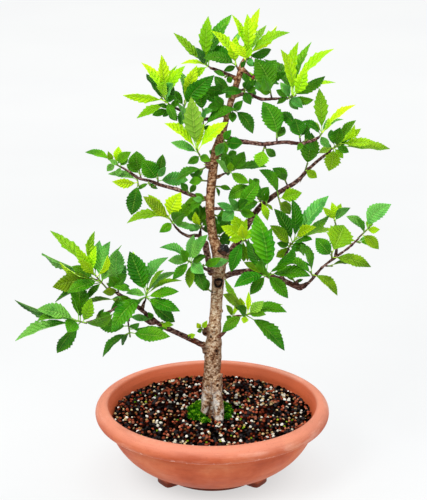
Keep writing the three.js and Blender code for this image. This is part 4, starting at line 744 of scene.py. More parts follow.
class Number:
    """A number that nodes work out, written as plain arithmetic."""

    def __init__(self, nodes, source):
        self.nodes = nodes
        self.source = source

    def __add__(self, other):
        return self.nodes.math("ADD", self, other)

    def __sub__(self, other):
        return self.nodes.math("SUBTRACT", self, other)

    def __rsub__(self, other):
        return self.nodes.math("SUBTRACT", other, self)

    def __mul__(self, other):
        return self.nodes.math("MULTIPLY", self, other)

    def __rmul__(self, other):
        return self.nodes.math("MULTIPLY", other, self)

    def __truediv__(self, other):
        return self.nodes.math("DIVIDE", self, other)

    def __pow__(self, other):
        return self.nodes.math("POWER", self, other)

    def __abs__(self):
        return self.nodes.math("ABSOLUTE", self)


class Nodes:
    """Adds nodes to a tree. An input takes a value, a colour's code, a node, its output or a Number."""

    def __init__(self, tree):
        self.tree = tree

    def feed(self, socket, value):
        if isinstance(value, Number):
            value = value.source
        if isinstance(value, bpy.types.Node):
            value = next(out for out in value.outputs if out.enabled)
        if isinstance(value, bpy.types.NodeSocket):
            self.tree.links.new(value, socket)
        elif isinstance(value, str) and socket.type == "RGBA":
            socket.default_value = shade(value)
        else:
            socket.default_value = value

    def add(self, kind, inputs=(), **settings):
        node = self.tree.nodes.new(kind)
        for key, value in settings.items():
            setattr(node, key, value)
        pairs = inputs.items() if isinstance(inputs, dict) else enumerate(inputs)
        for key, value in pairs:
            self.feed(node.inputs[key], value)
        return node

    def math(self, operation, *values):
        return Number(self, self.add("ShaderNodeMath", values, operation=operation))

    def parts(self, vector):
        node = self.add("ShaderNodeSeparateXYZ", [vector])
        return [Number(self, out) for out in node.outputs]

    def moved(self, place, way, distance):
        """A place that is moved along a way."""
        step = self.add("ShaderNodeVectorMath", {0: way, "Scale": distance}, operation="SCALE")
        return self.add("ShaderNodeVectorMath", [place, step], operation="ADD")

    def spread(self, value, low, high, to_low=0.0, to_high=1.0):
        """A number between low and high, taken smoothly to another range."""
        inputs = {"Value": value, "From Min": low, "From Max": high, "To Min": to_low, "To Max": to_high}
        return Number(self, self.add("ShaderNodeMapRange", inputs, interpolation_type="SMOOTHSTEP"))

    def passing(self, length, span):
        """0 to 1 while a length in metres passes through a span in millimetres."""
        return self.spread(length, span[0] * MM, span[1] * MM)

    def varied(self, noise_value, low, high):
        """Noise, most of which lies between 0.3 and 0.7, taken to another range."""
        return self.spread(noise_value, 0.3, 0.7, low, high)

    def random(self, seed=0, low=0.0, high=1.0):
        """Another number for each point, between low and high, in a geometry tree."""
        node = self.add("FunctionNodeRandomValue", {"Seed": seed}, data_type="FLOAT")
        for socket in node.inputs:
            if socket.enabled and socket.name in ("Min", "Max"):
                self.feed(socket, low if socket.name == "Min" else high)
        return node

    def random_turn(self, seed, low, high):
        inputs = {"Min": low, "Max": high, "Seed": seed}
        return self.add("FunctionNodeRandomValue", inputs, data_type="FLOAT_VECTOR")

    def place(self, stretch=(1, 1, 1)):
        """Object coordinates, in metres, stretched along each axis."""
        coordinates = self.add("ShaderNodeTexCoord").outputs["Object"]
        return self.add("ShaderNodeMapping", {"Vector": coordinates, "Scale": stretch})

    def outward(self):
        """How far a point is from the Z axis, and how high it is."""
        x, y, height = self.parts(self.place())
        return self.math("SQRT", x * x + y * y), height

    def grain(self, scale, detail=3.0, roughness=0.5, stretch=(1, 1, 1)):
        """Noise from 0 to 1, with scale bumps to a metre."""
        inputs = {"Vector": self.place(stretch), "Scale": scale, "Detail": detail, "Roughness": roughness}
        return Number(self, self.add("ShaderNodeTexNoise", inputs))

    def cells(self, scale, feature="F1", stretch=(1, 1, 1)):
        """Scattered cells: the distance in each one, and the outputs of their node."""
        inputs = {"Vector": self.place(stretch), "Scale": scale}
        node = self.add("ShaderNodeTexVoronoi", inputs, feature=feature)
        return Number(self, node), node.outputs

    def blend(self, share, first, second):
        """A mix of two colours."""
        node = self.add("ShaderNodeMix", {"Factor": share}, data_type="RGBA")
        for name, colour in (("A", first), ("B", second)):
            self.feed([s for s in node.inputs if s.name == name and s.enabled][0], colour)
        return node

    def tinted(self, colour, hue, saturation, value):
        """A colour with its hue turned, where 0.5 leaves it, and its strength and lightness changed."""
        inputs = {"Color": colour, "Hue": hue, "Saturation": saturation, "Value": value}
        return self.add("ShaderNodeHueSaturation", inputs)

    def stops(self, value, *colours):
        """A colour ramp: pairs of a place from 0 to 1 and a colour's code."""
        node = self.add("ShaderNodeValToRGB", [value])
        ramp = node.color_ramp
        while len(ramp.elements) < len(colours):
            ramp.elements.new(0.5)
        for element, (spot, code) in zip(ramp.elements, colours):
            element.position = spot
            element.color = shade(code)
        return node

    def bump(self, height, distance, strength=1.0):
        inputs = {"Height": height, "Distance": distance, "Strength": strength}
        return self.add("ShaderNodeBump", inputs)

    def held(self, name):
        """What a mesh holds under a name, as outputs, in a material."""
        return self.add("ShaderNodeAttribute", attribute_name=name).outputs

    def share(self, name):
        """A number that a mesh holds under a name, in a material."""
        return Number(self, self.held(name)["Fac"])

    def read(self, name, kind="FLOAT_VECTOR"):
        """What a mesh holds under a name, in a geometry tree."""
        return self.add("GeometryNodeInputNamedAttribute", [name], data_type=kind)

    def store(self, geometry, name, value, kind):
        inputs = {"Geometry": geometry, "Name": name, "Value": value}
        return self.add("GeometryNodeStoreNamedAttribute", inputs, data_type=kind, domain="POINT")

    def joined(self, *geometries):
        node = self.add("GeometryNodeJoinGeometry")
        for geometry in geometries:
            self.tree.links.new(geometry, node.inputs[0])
        return node


def finish_of(name, paint, **surface):
    """A material: paint adds nodes and returns what feeds the shader's own sockets."""
    made = bpy.data.materials.new(name)
    made.use_nodes = True
    tree = made.node_tree
    shader = tree.nodes["Principled BSDF"]
    nodes = Nodes(tree)
    for key, value in {**surface, **paint(nodes)}.items():
        nodes.feed(shader.inputs[key.replace("_", " ")], value)
    return made


def repeating(name, sockets):
    """An empty geometry tree with named inputs. Returns its nodes and its group input."""
    tree = bpy.data.node_groups.new(name, "GeometryNodeTree")
    tree.interface.new_socket("Geometry", in_out="INPUT", socket_type="NodeSocketGeometry")
    for label, (kind, value) in sockets.items():
        socket = tree.interface.new_socket(label, in_out="INPUT", socket_type="NodeSocket" + kind)
        if value is not None:
            socket.default_value = value
    tree.interface.new_socket("Geometry", in_out="OUTPUT", socket_type="NodeSocketGeometry")
    nodes = Nodes(tree)
    return nodes, nodes.add("NodeGroupInput").outputs


def end_tree(nodes, geometry, material):
    """Closes a tree, and returns it."""
    plain = nodes.add("GeometryNodeRealizeInstances", [geometry])
    dressed = nodes.add("GeometryNodeSetMaterial", {"Geometry": plain, "Material": material})
    nodes.add("NodeGroupOutput", [dressed])
    return nodes.tree


def grown(name, mesh, tree, **values):
    """A piece made by a geometry tree from a mesh, as a plain mesh."""
    piece = add_object(name, mesh)
    modifier = piece.modifiers.new(tree.name, "NODES")
    modifier.node_group = tree
    keys = {item.name: item.identifier for item in tree.interface.items_tree if item.in_out == "INPUT"}
    for label, value in values.items():
        modifier[keys[label.replace("_", " ")]] = value
    return settled(piece)


# Meshes

def add_object(name, data):
    made = bpy.data.objects.new(name, data)
    bpy.context.scene.collection.objects.link(made)
    return made


def settled(piece):
    """The piece with its modifiers made part of its mesh."""
    graph = bpy.context.evaluated_depsgraph_get()
    mesh = bpy.data.meshes.new_from_object(piece.evaluated_get(graph))
    piece.modifiers.clear()
    piece.data = mesh
    return piece


def worked(piece, tool_mesh, operation):
    """Cuts a tool out of a piece, or joins it to the piece."""
    tool = add_object("tool", tool_mesh)
    change = piece.modifiers.new("tool", "BOOLEAN")
    change.operation = operation
    change.object = tool
    settled(piece)
    bpy.data.objects.remove(tool)


def dress(piece, finish):
    piece.data.materials.clear()
    piece.data.materials.append(finish)


def smooth_faces(mesh):
    mesh.polygons.foreach_set("use_smooth", [True] * len(mesh.polygons))


def mesh_from(name, points, faces):
    mesh = bpy.data.meshes.new(name)
    mesh.from_pydata([tuple(p) for p in points], [], faces)
    mesh.validate()
    smooth_faces(mesh)
    return mesh


def mesh_of(name, body):
    """A mesh with what a bmesh holds. The bmesh is used up."""
    mesh = bpy.data.meshes.new(name)
    body.to_mesh(mesh)
    body.free()
    return mesh


def mark(mesh, name, kind, values):
    """Gives a mesh an attribute with one value for each of its points."""
    attribute = mesh.attributes.new(name, kind, "POINT")
    field = {"FLOAT": "value", "FLOAT_VECTOR": "vector", "FLOAT_COLOR": "color"}[kind]
    attribute.data.foreach_set(field, np.array(values, np.float32).ravel())


def per_vertex(mesh, field):
    """A row for each vertex with its place, "co", or its "normal"."""
    rows = np.zeros(len(mesh.vertices) * 3, np.float32)
    mesh.vertices.foreach_get(field, rows)
    return rows.reshape(-1, 3)


def finder(places):
    """A search tree over places: its find gives the nearest one, its number and how far it is."""
    tree = kdtree.KDTree(len(places))
    for k, place in enumerate(places):
        tree.insert(place[:3], k)
    tree.balance()
    return tree


def clamp(value):
    return min(1, max(0, value))


def hump(value, middle, width):
    """1 at the middle, and falling to next to nothing over two widths."""
    return math.exp(-((value - middle) / width) ** 2)


def turns(count):
    return [2 * math.pi * k / count for k in range(count)]


def close_rings(faces, first, rings, sides):
    """Adds the faces between rings of points that follow each other, and one over each end."""
    for ring in range(rings - 1):
        for k in range(sides):
            after = (k + 1) % sides
            low, high = first + ring * sides, first + (ring + 1) * sides
            faces.append((low + k, low + after, high + after, high + k))
    faces.append(tuple(range(first, first + sides))[::-1])
    faces.append(tuple(range(first + (rings - 1) * sides, first + rings * sides)))


def turned_profile(profile, segments):
    """Points and faces of a closed round shell: a profile of radius and height, turned about Z."""
    points = [(radius * math.cos(turn), radius * math.sin(turn), height)
              for radius, height in profile for turn in turns(segments)]
    faces = []
    close_rings(faces, 0, len(profile), segments)
    return points, faces


def eased(points, step):
    """Points about a step apart on a smooth curve through the given ones, whatever a point holds."""
    given = [np.array(p, float) for p in points]
    given = [2 * given[0] - given[1], *given, 2 * given[-1] - given[-2]]
    found = []
    for k in range(1, len(given) - 2):
        a, b, c, d = given[k - 1:k + 3]
        count = max(1, round(float(np.linalg.norm(c - b)) / step))
        for j in range(count):
            t = j / count
            found.append(0.5 * (2 * b + (c - a) * t + (2 * a - 5 * b + 4 * c - d) * t ** 2
                                + (3 * b - a - 3 * c + d) * t ** 3))
    return [*found, given[-2]]


def tube(path, sides, points, faces, scale=MM):
    """Adds a closed tube along path, whose points hold x, y, z and a radius, to points and faces."""
    path = [np.array(p) * scale for p in path]
    first = len(points)
    last = len(path) - 1
    across = Vector((0, -1, 0.01))
    for k, (x, y, z, radius) in enumerate(path):
        along = Vector(path[min(k + 1, last)][:3]) - Vector(path[max(k - 1, 0)][:3])
        along.normalize()
        across = (across - along * across.dot(along)).normalized()
        beside = along.cross(across)
        for turn in turns(sides):
            out = across * math.cos(turn) + beside * math.sin(turn)
            points.append(Vector((x, y, z)) + out * radius)
    close_rings(faces, first, len(path), sides)


# Pot

def pot_profile():
    """The pot's section: the outside up, over the rolled rim, and down the inside to the floor."""
    ring = [(BASE_RADIUS, 0), (BASE_RADIUS + 2.2, 0.4), (BASE_RADIUS + 2.8, 1.6), (BASE_RADIUS + 2.6, 3.1),
            (BASE_RADIUS + 1.4, 3.9)]
    wall = eased([(BASE_RADIUS + 2.6, 4.5), (64.5, 7.6), (77, 13.4), (91.3, 22), (103.8, 33.2), (113.4, 46.6),
                  (119.3, 60.6), (120.4, 67.2)], step=2.5)
    seam = [(120.9, 68.2), (121.7, 68.7), (122.9, 68.4)]
    rim = eased([(124.9, 68.1), (129.4, 68.7), (133.2, 71), (135.2, 75), (135.3, 79.4), (133.2, 84),
                 (129, 87.2), (124.4, 88), (121.7, 87.1), (120.2, 84.6)], step=1.2)
    inside = eased([(119.2, 81), (117.6, 78), (116.4, 72), (112, 58), (105, 44), (95, 31), (82, 20), (66, 12),
                    (50, 9)], step=3.5)
    return [*ring, *wall, *seam, *rim, *inside]


def foot_block(turn):
    """A low wedge under the pot's shoulder, wider at the top and with blunt corners."""
    middle = Vector((math.cos(turn), math.sin(turn), 0))
    beside = Vector((-math.sin(turn), math.cos(turn), 0))
    outline = []
    side = [(-1, -1), (-0.6, -1.12), (0.6, -1.12)]
    for _ in range(4):
        outline += side
        side = [(-v, u) for u, v in side]
    points = []
    for height, size in FOOT_STEPS:
        for u, v in outline:
            spot = middle * (FOOT_CIRCLE + u * size * FOOT_DEPTH) + beside * (v * size * FOOT_WIDTH)
            points.append(Vector((spot.x, spot.y, height)) * MM)
    faces = []
    close_rings(faces, 0, len(FOOT_STEPS), len(outline))
    return mesh_from("foot", points, faces)


def drain_drill(side):
    """A round rod where a drain hole goes through the floor."""
    ends = [(DRAIN_RADIUS * MM, height * MM) for height in DRAIN_ENDS]
    points, faces = turned_profile(ends, DRAIN_SEGMENTS)
    return mesh_from("drill", [(x + side * DRAIN_OFFSET * MM, y, z) for x, y, z in points], faces)


def fired_clay(n):
    """Blotched red clay, chalky along the seam under the rim. Painted shade darkens the lower wall, more so
    the base ring and the feet, and a thin line under the rim's overhang. The rim is paler, partly faded clay
    and partly a painted highlight.
    """
    cloud = n.grain(17, 5, 0.6, stretch=(1, 1, 1.6))
    smear = n.grain(34, 5, 0.65, stretch=(0.5, 0.5, 2.4))
    speck = n.grain(900, 2)
    throwing = n.grain(150, 4, 0.6, stretch=(0.1, 0.1, 2.2))
    outward, height = n.outward()
    inside = n.passing(outward, INSIDE_RADII) * n.passing(height, INSIDE_HEIGHTS)
    outside = 1 - inside
    warm = n.stops(cloud, (0.34, "ae4a26"), (0.48, "c05a34"), (0.58, "cb6840"), (0.68, "d27850"))
    # Painted shade: the lower wall, which curves in under the bowl, is darkened.
    low = n.blend(n.passing(height, LOW_SHADE_HEIGHTS) * 0.5, warm, "9a4024")
    # Painted shade: the base ring and the feet, next to the floor, are darkened further.
    base = n.blend(n.passing(height, BASE_SHADE_HEIGHTS) * 0.7, low, "44180c")
    # The rim is paler towards its top: partly faded clay and partly a painted highlight.
    rim = n.blend(n.passing(height + smear * 0.012, RIM_FADE_AND_HIGHLIGHT_HEIGHTS) * 0.65, base, "ee9f84")
    bloom = n.blend(inside * 0.85, rim, "de6a40")
    scuff = n.spread(smear, 0.52, 0.68) * n.passing(height, SCUFF_HEIGHTS) * outside
    scuffed = n.blend(scuff * 0.4, bloom, "eeb29c")
    lined = n.blend(n.spread(throwing, 0.52, 0.66) * 0.12, scuffed, "8e3c22")
    pitted = n.blend(n.spread(speck, 0.62, 0.76) * 0.45, lined, "8a3d24")
    under_seam = n.spread(abs(height - SEAM_SHADOW_HEIGHT * MM), 0.0018, 0.001) * outside
    shadowed = n.blend(under_seam * 0.75, pitted, "4e1c0e")
    from_seam = abs(height - SEAM_HEIGHT * MM)
    chalk = n.spread(from_seam, 0.0011, 0.0006) * n.spread(n.grain(60, 4), 0.28, 0.44)
    spill = n.spread(from_seam, 0.006, 0.0) * n.spread(n.grain(240, 4), 0.55, 0.68)
    marked = n.math("MAXIMUM", chalk * 0.9, spill * 0.5) * outside
    return {
        "Base Color": n.blend(marked, shadowed, "ffeade"),
        "Roughness": n.varied(n.grain(40, 3), 0.5, 0.66),
        "Normal": n.bump(throwing * 0.8 + speck * 0.25 + n.grain(350, 3) * 0.5, 0.0006, 0.6),
    }


def make_pot():
    points, faces = turned_profile([(r * MM, z * MM) for r, z in pot_profile()], POT_SEGMENTS)
    pot = add_object("terracotta_bowl", mesh_from("terracotta_bowl", points, faces))
    for side in (-1, 1):
        worked(pot, drain_drill(side), "DIFFERENCE")
    for turn in FOOT_TURNS:
        worked(pot, foot_block(math.radians(turn)), "UNION")
    smooth_faces(pot.data)
    pot.data.set_sharp_from_angle(angle=math.radians(POT_CREASE))
    dress(pot, finish_of("Fired clay", fired_clay, Specular_IOR_Level=0.25))
    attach(pot, "root")
    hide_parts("pot")


def black_mesh(n):
    return {
        "Base Color": n.stops(n.grain(300), (0.3, "141414"), (0.7, "262626")),
        "Normal": n.bump(n.grain(700), 0.0003),
        "Roughness": n.varied(n.grain(200), 0.5, 0.7),
    }


def dress_screens():
    """The mesh pads over the drain holes keep their solids' shape."""
    for name in ("screen_left", "screen_right"):
        dress(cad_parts[name], finish_of("Black mesh", black_mesh))


# Soil

def dark_earth(n):
    lump, _ = n.cells(260)
    tint = n.stops(n.grain(180, 3), (0.35, "150d0a"), (0.5, "2e1a12"), (0.7, "47271b"))
    return {
        # Painted shade: darker towards the edges of the lumps, where the bump sinks between them.
        "Base Color": n.blend(n.spread(lump, 0.0, 0.5), tint, "0a0605"),
        "Normal": n.bump(1 - lump, 0.002),
        "Roughness": n.varied(n.grain(300), 0.8, 0.98),
    }


def rock(name, seed, flats):
    """A broken grain: a ball with flat cuts, about 1 metre across before it is scaled."""
    draws = random.Random(seed)
    ball = bmesh.new()
    bmesh.ops.create_icosphere(ball, subdivisions=2, radius=0.5)
    cuts = []
    for _ in range(flats):
        way = Vector((draws.uniform(-1, 1), draws.uniform(-1, 1), draws.uniform(-1, 1))).normalized()
        cuts.append((way, draws.uniform(0.3, 0.44)))
    for vertex in ball.verts:
        for way, far in cuts:
            past = vertex.co.dot(way) - far
            if past > 0:
                vertex.co -= way * past
        vertex.co.x *= 1.12
        vertex.co.z *= 0.9
    return bpy.data.objects.new(name, mesh_of(name, ball))


def grain_tree(rocks):
    """Grains strewn over a surface. From and To say which share of them stays, so kinds can share it."""
    n, given = repeating("Strewn grains", {
        "Spacing": ("Float", 0.0034),
        "From": ("Float", 0.0),
        "To": ("Float", 1.0),
        "Smallest": ("Float", 0.0035),
        "Largest": ("Float", 0.0055),
        "Seed": ("Int", 7),
        "Material": ("Material", None),
    })
    strewn = n.add("GeometryNodeDistributePointsOnFaces", {
        "Mesh": given["Geometry"], "Distance Min": given["Spacing"], "Density Max": 400000.0,
        "Seed": given["Seed"]}, distribute_method="POISSON")
    lot = n.random(seed=3)
    below = n.add("FunctionNodeCompare", {"A": lot, "B": given["From"]}, operation="LESS_THAN")
    above = n.add("FunctionNodeCompare", {"A": lot, "B": given["To"]}, operation="GREATER_EQUAL")
    out = n.add("FunctionNodeBooleanMath", [below, above], operation="OR")
    kept = n.add("GeometryNodeDeleteGeometry", {"Geometry": strewn, "Selection": out}, domain="POINT")
    picked = n.store(kept, "pick", n.random(seed=21), "FLOAT")
    infos = [n.add("GeometryNodeObjectInfo", {"Object": one, "As Instance": True}) for one in rocks]
    copies = n.add("GeometryNodeInstanceOnPoints", {
        "Points": picked, "Instance": n.joined(*(info.outputs["Geometry"] for info in infos)),
        "Pick Instance": True, "Rotation": n.random_turn(5, (0, 0, 0), (6.3, 6.3, 6.3)),
        "Scale": n.random(9, given["Smallest"], given["Largest"])})
    return end_tree(n, copies, given["Material"])


def grain_finish(name, dark, light, rough):
    """Each grain has its own tint between a dark and a light one, which its pores darken."""
    def paint(n):
        tint = n.stops(n.share("pick") * 0.85 + n.grain(300, 2) * 0.3, (0.42, dark), (1.0, light))
        pores = n.grain(1500, 3)
        return {
            "Base Color": n.blend(n.spread(pores, 0.58, 0.72) * 0.6, tint, dark),
            "Roughness": n.varied(pores, rough, rough + 0.15),
            "Normal": n.bump(pores, 0.0007, 0.7),
        }
    return finish_of(name, paint, Specular_IOR_Level=0.0)


def soil_surface():
    """The open top of the soil's solid, as the bed that the grains lie on."""
    bed = bmesh.new()
    bed.from_mesh(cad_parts["soil"].data)
    bmesh.ops.remove_doubles(bed, verts=bed.verts, dist=0.00001)
    covered = [f for f in bed.faces if f.normal.z < 0.5 or f.calc_center_median().z < BED_LOWEST * MM]
    bmesh.ops.delete(bed, geom=covered, context="FACES")
    return mesh_of("bed", bed)


def make_soil():
    dress(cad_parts["soil"], finish_of("Dark earth", dark_earth, Specular_IOR_Level=0.0))
    rocks = [rock(f"rock_{k}", seed=40 + k, flats=5 + k) for k in range(4)]
    tree = grain_tree(rocks)
    bed = soil_surface()
    low = 0.0
    for name, high, smallest, largest, rough, dark, light in GRAIN_KINDS:
        piece = grown(name, bed.copy(), tree, Spacing=GRAIN_SPACING * MM, From=low, To=high,
                      Smallest=smallest * MM, Largest=largest * MM,
                      Material=grain_finish(name.replace("_", " "), dark, light, rough))
        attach(piece, "root")
        low = high
    for one in rocks:
        bpy.data.objects.remove(one)


# Moss

def green_moss(n):
    """Dark down in the cushion, as painted shade, and bright at the tips of the shoots, partly their paler
    new growth and partly a painted highlight.
    """
    clump = n.grain(220, 4)
    deep = n.stops(clump, (0.42, "0a2402"), (0.6, "205a08"))
    bright = n.stops(clump, (0.42, "246c0a"), (0.52, "58aa14"), (0.62, "b0e834"))
    return {
        "Base Color": n.blend(n.spread(n.share("tip"), 0.1, 0.9), deep, bright),
        "Roughness": n.varied(clump, 0.75, 0.95),
        "Normal": n.bump(n.grain(1400, 3), 0.0008),
    }


def moss_mound():
    """The moss cushion's body: overlapping balls made one skin, with a lumpy surface."""
    lumps = bmesh.new()
    flat = Matrix.Diagonal((1, 1, MOSS_FLATNESS, 1))
    for x, y, size in MOSS_BUMPS:
        spot = Matrix.Translation((x * MM, y * MM, MOSS_LEVEL * MM)) @ flat
        bmesh.ops.create_icosphere(lumps, subdivisions=3, radius=(size - TUFT_REACH) * MM, matrix=spot)
    mound = add_object("moss_mound", mesh_of("moss_mound", lumps))
    skin = mound.modifiers.new("skin", "REMESH")
    skin.voxel_size = MOSS_VOXEL * MM
    settled(mound)
    for vertex in mound.data.vertices:
        wave = noise.fractal(vertex.co * 260, 0.8, 2, 3)
        vertex.co += vertex.normal * wave * (MOSS_WAVE * MM)
    return mound


def moss_tuft():
    """One shoot, with 1 metre for its height before it is scaled, marked with how near its tip a point is."""
    points, faces = [], []
    tube([(0, 0, -0.2, 0.2), (0, 0.03, 0.4, 0.22), (0.02, 0.12, 0.8, 0.14), (0.05, 0.22, 1.05, 0.02)], 4,
         points, faces, scale=1)
    mesh = mesh_from("tuft", points, faces)
    mark(mesh, "tip", "FLOAT", [max(0, 1.4 * p[2]) for p in points])
    return bpy.data.objects.new("tuft", mesh)


def tuft_tree(tuft):
    """Tufts all over a cushion, apart from its underside."""
    n, given = repeating("Moss tufts", {
        "Density": ("Float", 600000.0),
        "Tuft": ("Object", tuft),
        "Shortest": ("Float", 0.0011),
        "Longest": ("Float", 0.0024),
        "Seed": ("Int", 4),
        "Material": ("Material", None),
    })
    up = n.parts(n.add("GeometryNodeInputNormal"))[2]
    spots = n.add("GeometryNodeDistributePointsOnFaces", {
        "Mesh": given["Geometry"], "Density": given["Density"], "Seed": given["Seed"],
        "Selection": n.math("GREATER_THAN", up, -0.1)}, distribute_method="RANDOM").outputs
    lean = n.random_turn(2, (-0.5, -0.5, 0), (0.5, 0.5, 6.3))
    copies = n.add("GeometryNodeInstanceOnPoints", {
        "Points": spots["Points"],
        "Instance": n.add("GeometryNodeObjectInfo", {"Object": given["Tuft"]}).outputs["Geometry"],
        "Rotation": n.add("FunctionNodeRotateRotation", [spots["Rotation"], lean]),
        "Scale": n.random(0, given["Shortest"], given["Longest"])})
    return end_tree(n, n.joined(given["Geometry"], copies.outputs[0]), given["Material"])


def make_moss():
    tuft = moss_tuft()
    mound = moss_mound()
    finish = finish_of("Green moss", green_moss, Specular_IOR_Level=0.0)
    moss = grown("moss_cushion", mound.data, tuft_tree(tuft), Material=finish)
    bpy.data.objects.remove(mound)
    bpy.data.objects.remove(tuft)
    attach(moss, "root")
    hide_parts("moss")


# Wood

def limb_paths():
    """Every path of the wood as points of x, y, z and radius, in millimetres, with its name."""
    paths = {"trunk": eased([(*p, r) for p, r in zip(TRUNK, TRUNK_RADII)], step=3)}
    for name, (points, first, last) in BRANCHES.items():
        count = len(points) - 1
        rows = [(*p, first + (last - first) * k / count) for k, p in enumerate(points)]
        paths[name] = eased(rows, step=2.5)
    return paths


def with_collar(path):
    """The path with its first points thicker, where a limb leaves its parent."""
    path = [tuple(p) for p in path]
    for k, share in enumerate(COLLAR, 1):
        x, y, z, radius = path[k]
        path[k] = (x, y, z, radius * share)
    return path


def with_round_end(path):
    """The path with a blunt, round last end."""
    *place, radius = path[-1]
    ahead = (Vector(place) - Vector(path[-2][:3])).normalized()
    tips = []
    for turn in END_TURNS:
        along = radius * math.sin(math.radians(turn))
        tips.append((*(Vector(place) + ahead * along * END_LENGTH), radius * math.cos(math.radians(turn))))
    return [*path, *tips]


def raw_wood(paths):
    """The wood before its bark: all limbs as tubes, the scar's ridge and the knots, under one skin."""
    points, faces = [], []
    for name, path in paths.items():
        if name != "trunk" and not name.startswith("root"):
            path = with_collar(path)
        tube(with_round_end(path), LIMB_SIDES, points, faces)
    tube([(*p, SCAR_RIDGE_RADIUS) for p in eased(SCAR_RIDGE, step=1.5)], 8, points, faces)
    wood = add_object("medlar_wood", mesh_from("wood", points, faces))
    knots = bmesh.new()
    knots.from_mesh(wood.data)
    for x, y, z, size in KNOTS:
        spot = Matrix.Translation((x * MM, y * MM, z * MM))
        bmesh.ops.create_icosphere(knots, subdivisions=3, radius=size * KNOT_SHARE * MM, matrix=spot)
    knots.to_mesh(wood.data)
    knots.free()
    skin = wood.modifiers.new("skin", "REMESH")
    skin.voxel_size = WOOD_VOXEL * MM
    soften = wood.modifiers.new("soften", "SMOOTH")
    soften.factor = 0.5
    soften.iterations = 3
    return settled(wood)


def limb_finder(paths):
    """A function that gives, for a point, the name of the nearest limb and the number of its nearest ring."""
    rings = [(place, name, k) for name, path in paths.items() for k, place in enumerate(path)]
    search = finder([place for place, _, _ in rings])
    return lambda point: rings[search.find(point)[1]][1:]


def stretched(point, across, up, shift=0):
    """Where noise is read for a point, if it is that fine across and that fine upwards."""
    return Vector((point.x * across, point.y * across, point.z * up + shift))


def bark_height(point, name, ring):
    """How far the bark stands out at a point, in millimetres."""
    if name.startswith("root") or (name == "trunk" and point.z < OLD_BARK_TOP):
        plates = noise.fractal(stretched(point, 0.2, 0.1), 0.9, 2, 4)
        cracks = abs(noise.noise(stretched(point, 0.34, 0.16, shift=7)))
        wrinkles = noise.noise(stretched(point, 0.08, 0.5))
        fade = clamp((OLD_BARK_FADE_END - point.z) / OLD_BARK_FADE_SPAN)
        return fade * (0.85 * plates + 0.7 * min(cracks, 0.2) / 0.2 + 0.42 * wrinkles - 0.55)
    if name == "trunk":
        dashes = noise.noise(stretched(point, 0.16, 0.85))
        lumps = noise.noise(point * 0.12)
        return 0.28 * max(0, dashes - 0.12) + 0.5 * lumps + 0.16 * noise.noise(point * 0.6)
    rings = noise.noise(Vector((ring * 0.9, len(name), 0.3)))
    node = max(0, math.cos(ring * 0.62 + 2.1 * len(name))) ** 6
    lumps = 0.34 * noise.noise(point * 0.22) + 0.16 * noise.noise(point * 0.7)
    return 0.3 * node + 0.14 * rings + lumps - 0.05


def scar(point, apart, size):
    """A round scar's relief at a distance from its middle, and how dark its bark is there."""
    relief = 0.6 * hump(apart, size, 0.3 * size) - 1.2 * hump(apart, 0, 0.7 * size)
    if size > LARGE_SCAR:
        return relief, hump(apart, 0.95 * size, 0.26 * size) * (0.75 + 0.6 * noise.noise(point * 0.3))
    return relief, hump(apart, 0, 0.68 * size)


def grow_bark(mesh, paths):
    """Raises the bark on the raw wood, and marks its branches, hollows, stains and the sides that get painted
    shade.
    """
    places, ways = per_vertex(mesh, "co"), per_vertex(mesh, "normal")
    branches, hollows, stains = (np.zeros(len(places)) for _ in range(3))
    stained = [(Vector(centre), reach) for *centre, reach in STAINS]
    scars = [(Vector(centre), size) for *centre, size in SCARS]
    nearest_limb = limb_finder(paths)
    on_trunk = finder(paths["trunk"])
    for k, way in enumerate(ways):
        point = Vector(places[k]) / MM
        name, ring = nearest_limb(point)
        _, row, apart = on_trunk.find(point)
        if not name.startswith("root"):
            branches[k] = clamp((apart - 1.15 * paths["trunk"][row][3]) / BRANCH_BLEND)
        out = bark_height(point, name, ring)
        for centre, reach in stained:
            stains[k] = max(stains[k], 1 - (point - centre).length / reach)
        for centre, size in scars:
            apart = (point - centre).length
            if apart < 2.5 * size:
                relief, dark = scar(point, apart, size)
                out += relief
                hollows[k] = max(hollows[k], dark)
        places[k] += way * out * MM
    mesh.vertices.foreach_set("co", places.ravel())
    mark(mesh, "branch", "FLOAT", branches)
    mark(mesh, "hollow", "FLOAT", hollows)
    mark(mesh, "stain", "FLOAT", stains)
    # The trunk's sides, which turn away from the front, are marked for painted shade.
    mark(mesh, "flank_shade", "FLOAT", np.abs(ways[:, 0]) * (1 - branches))
    smooth_faces(mesh)


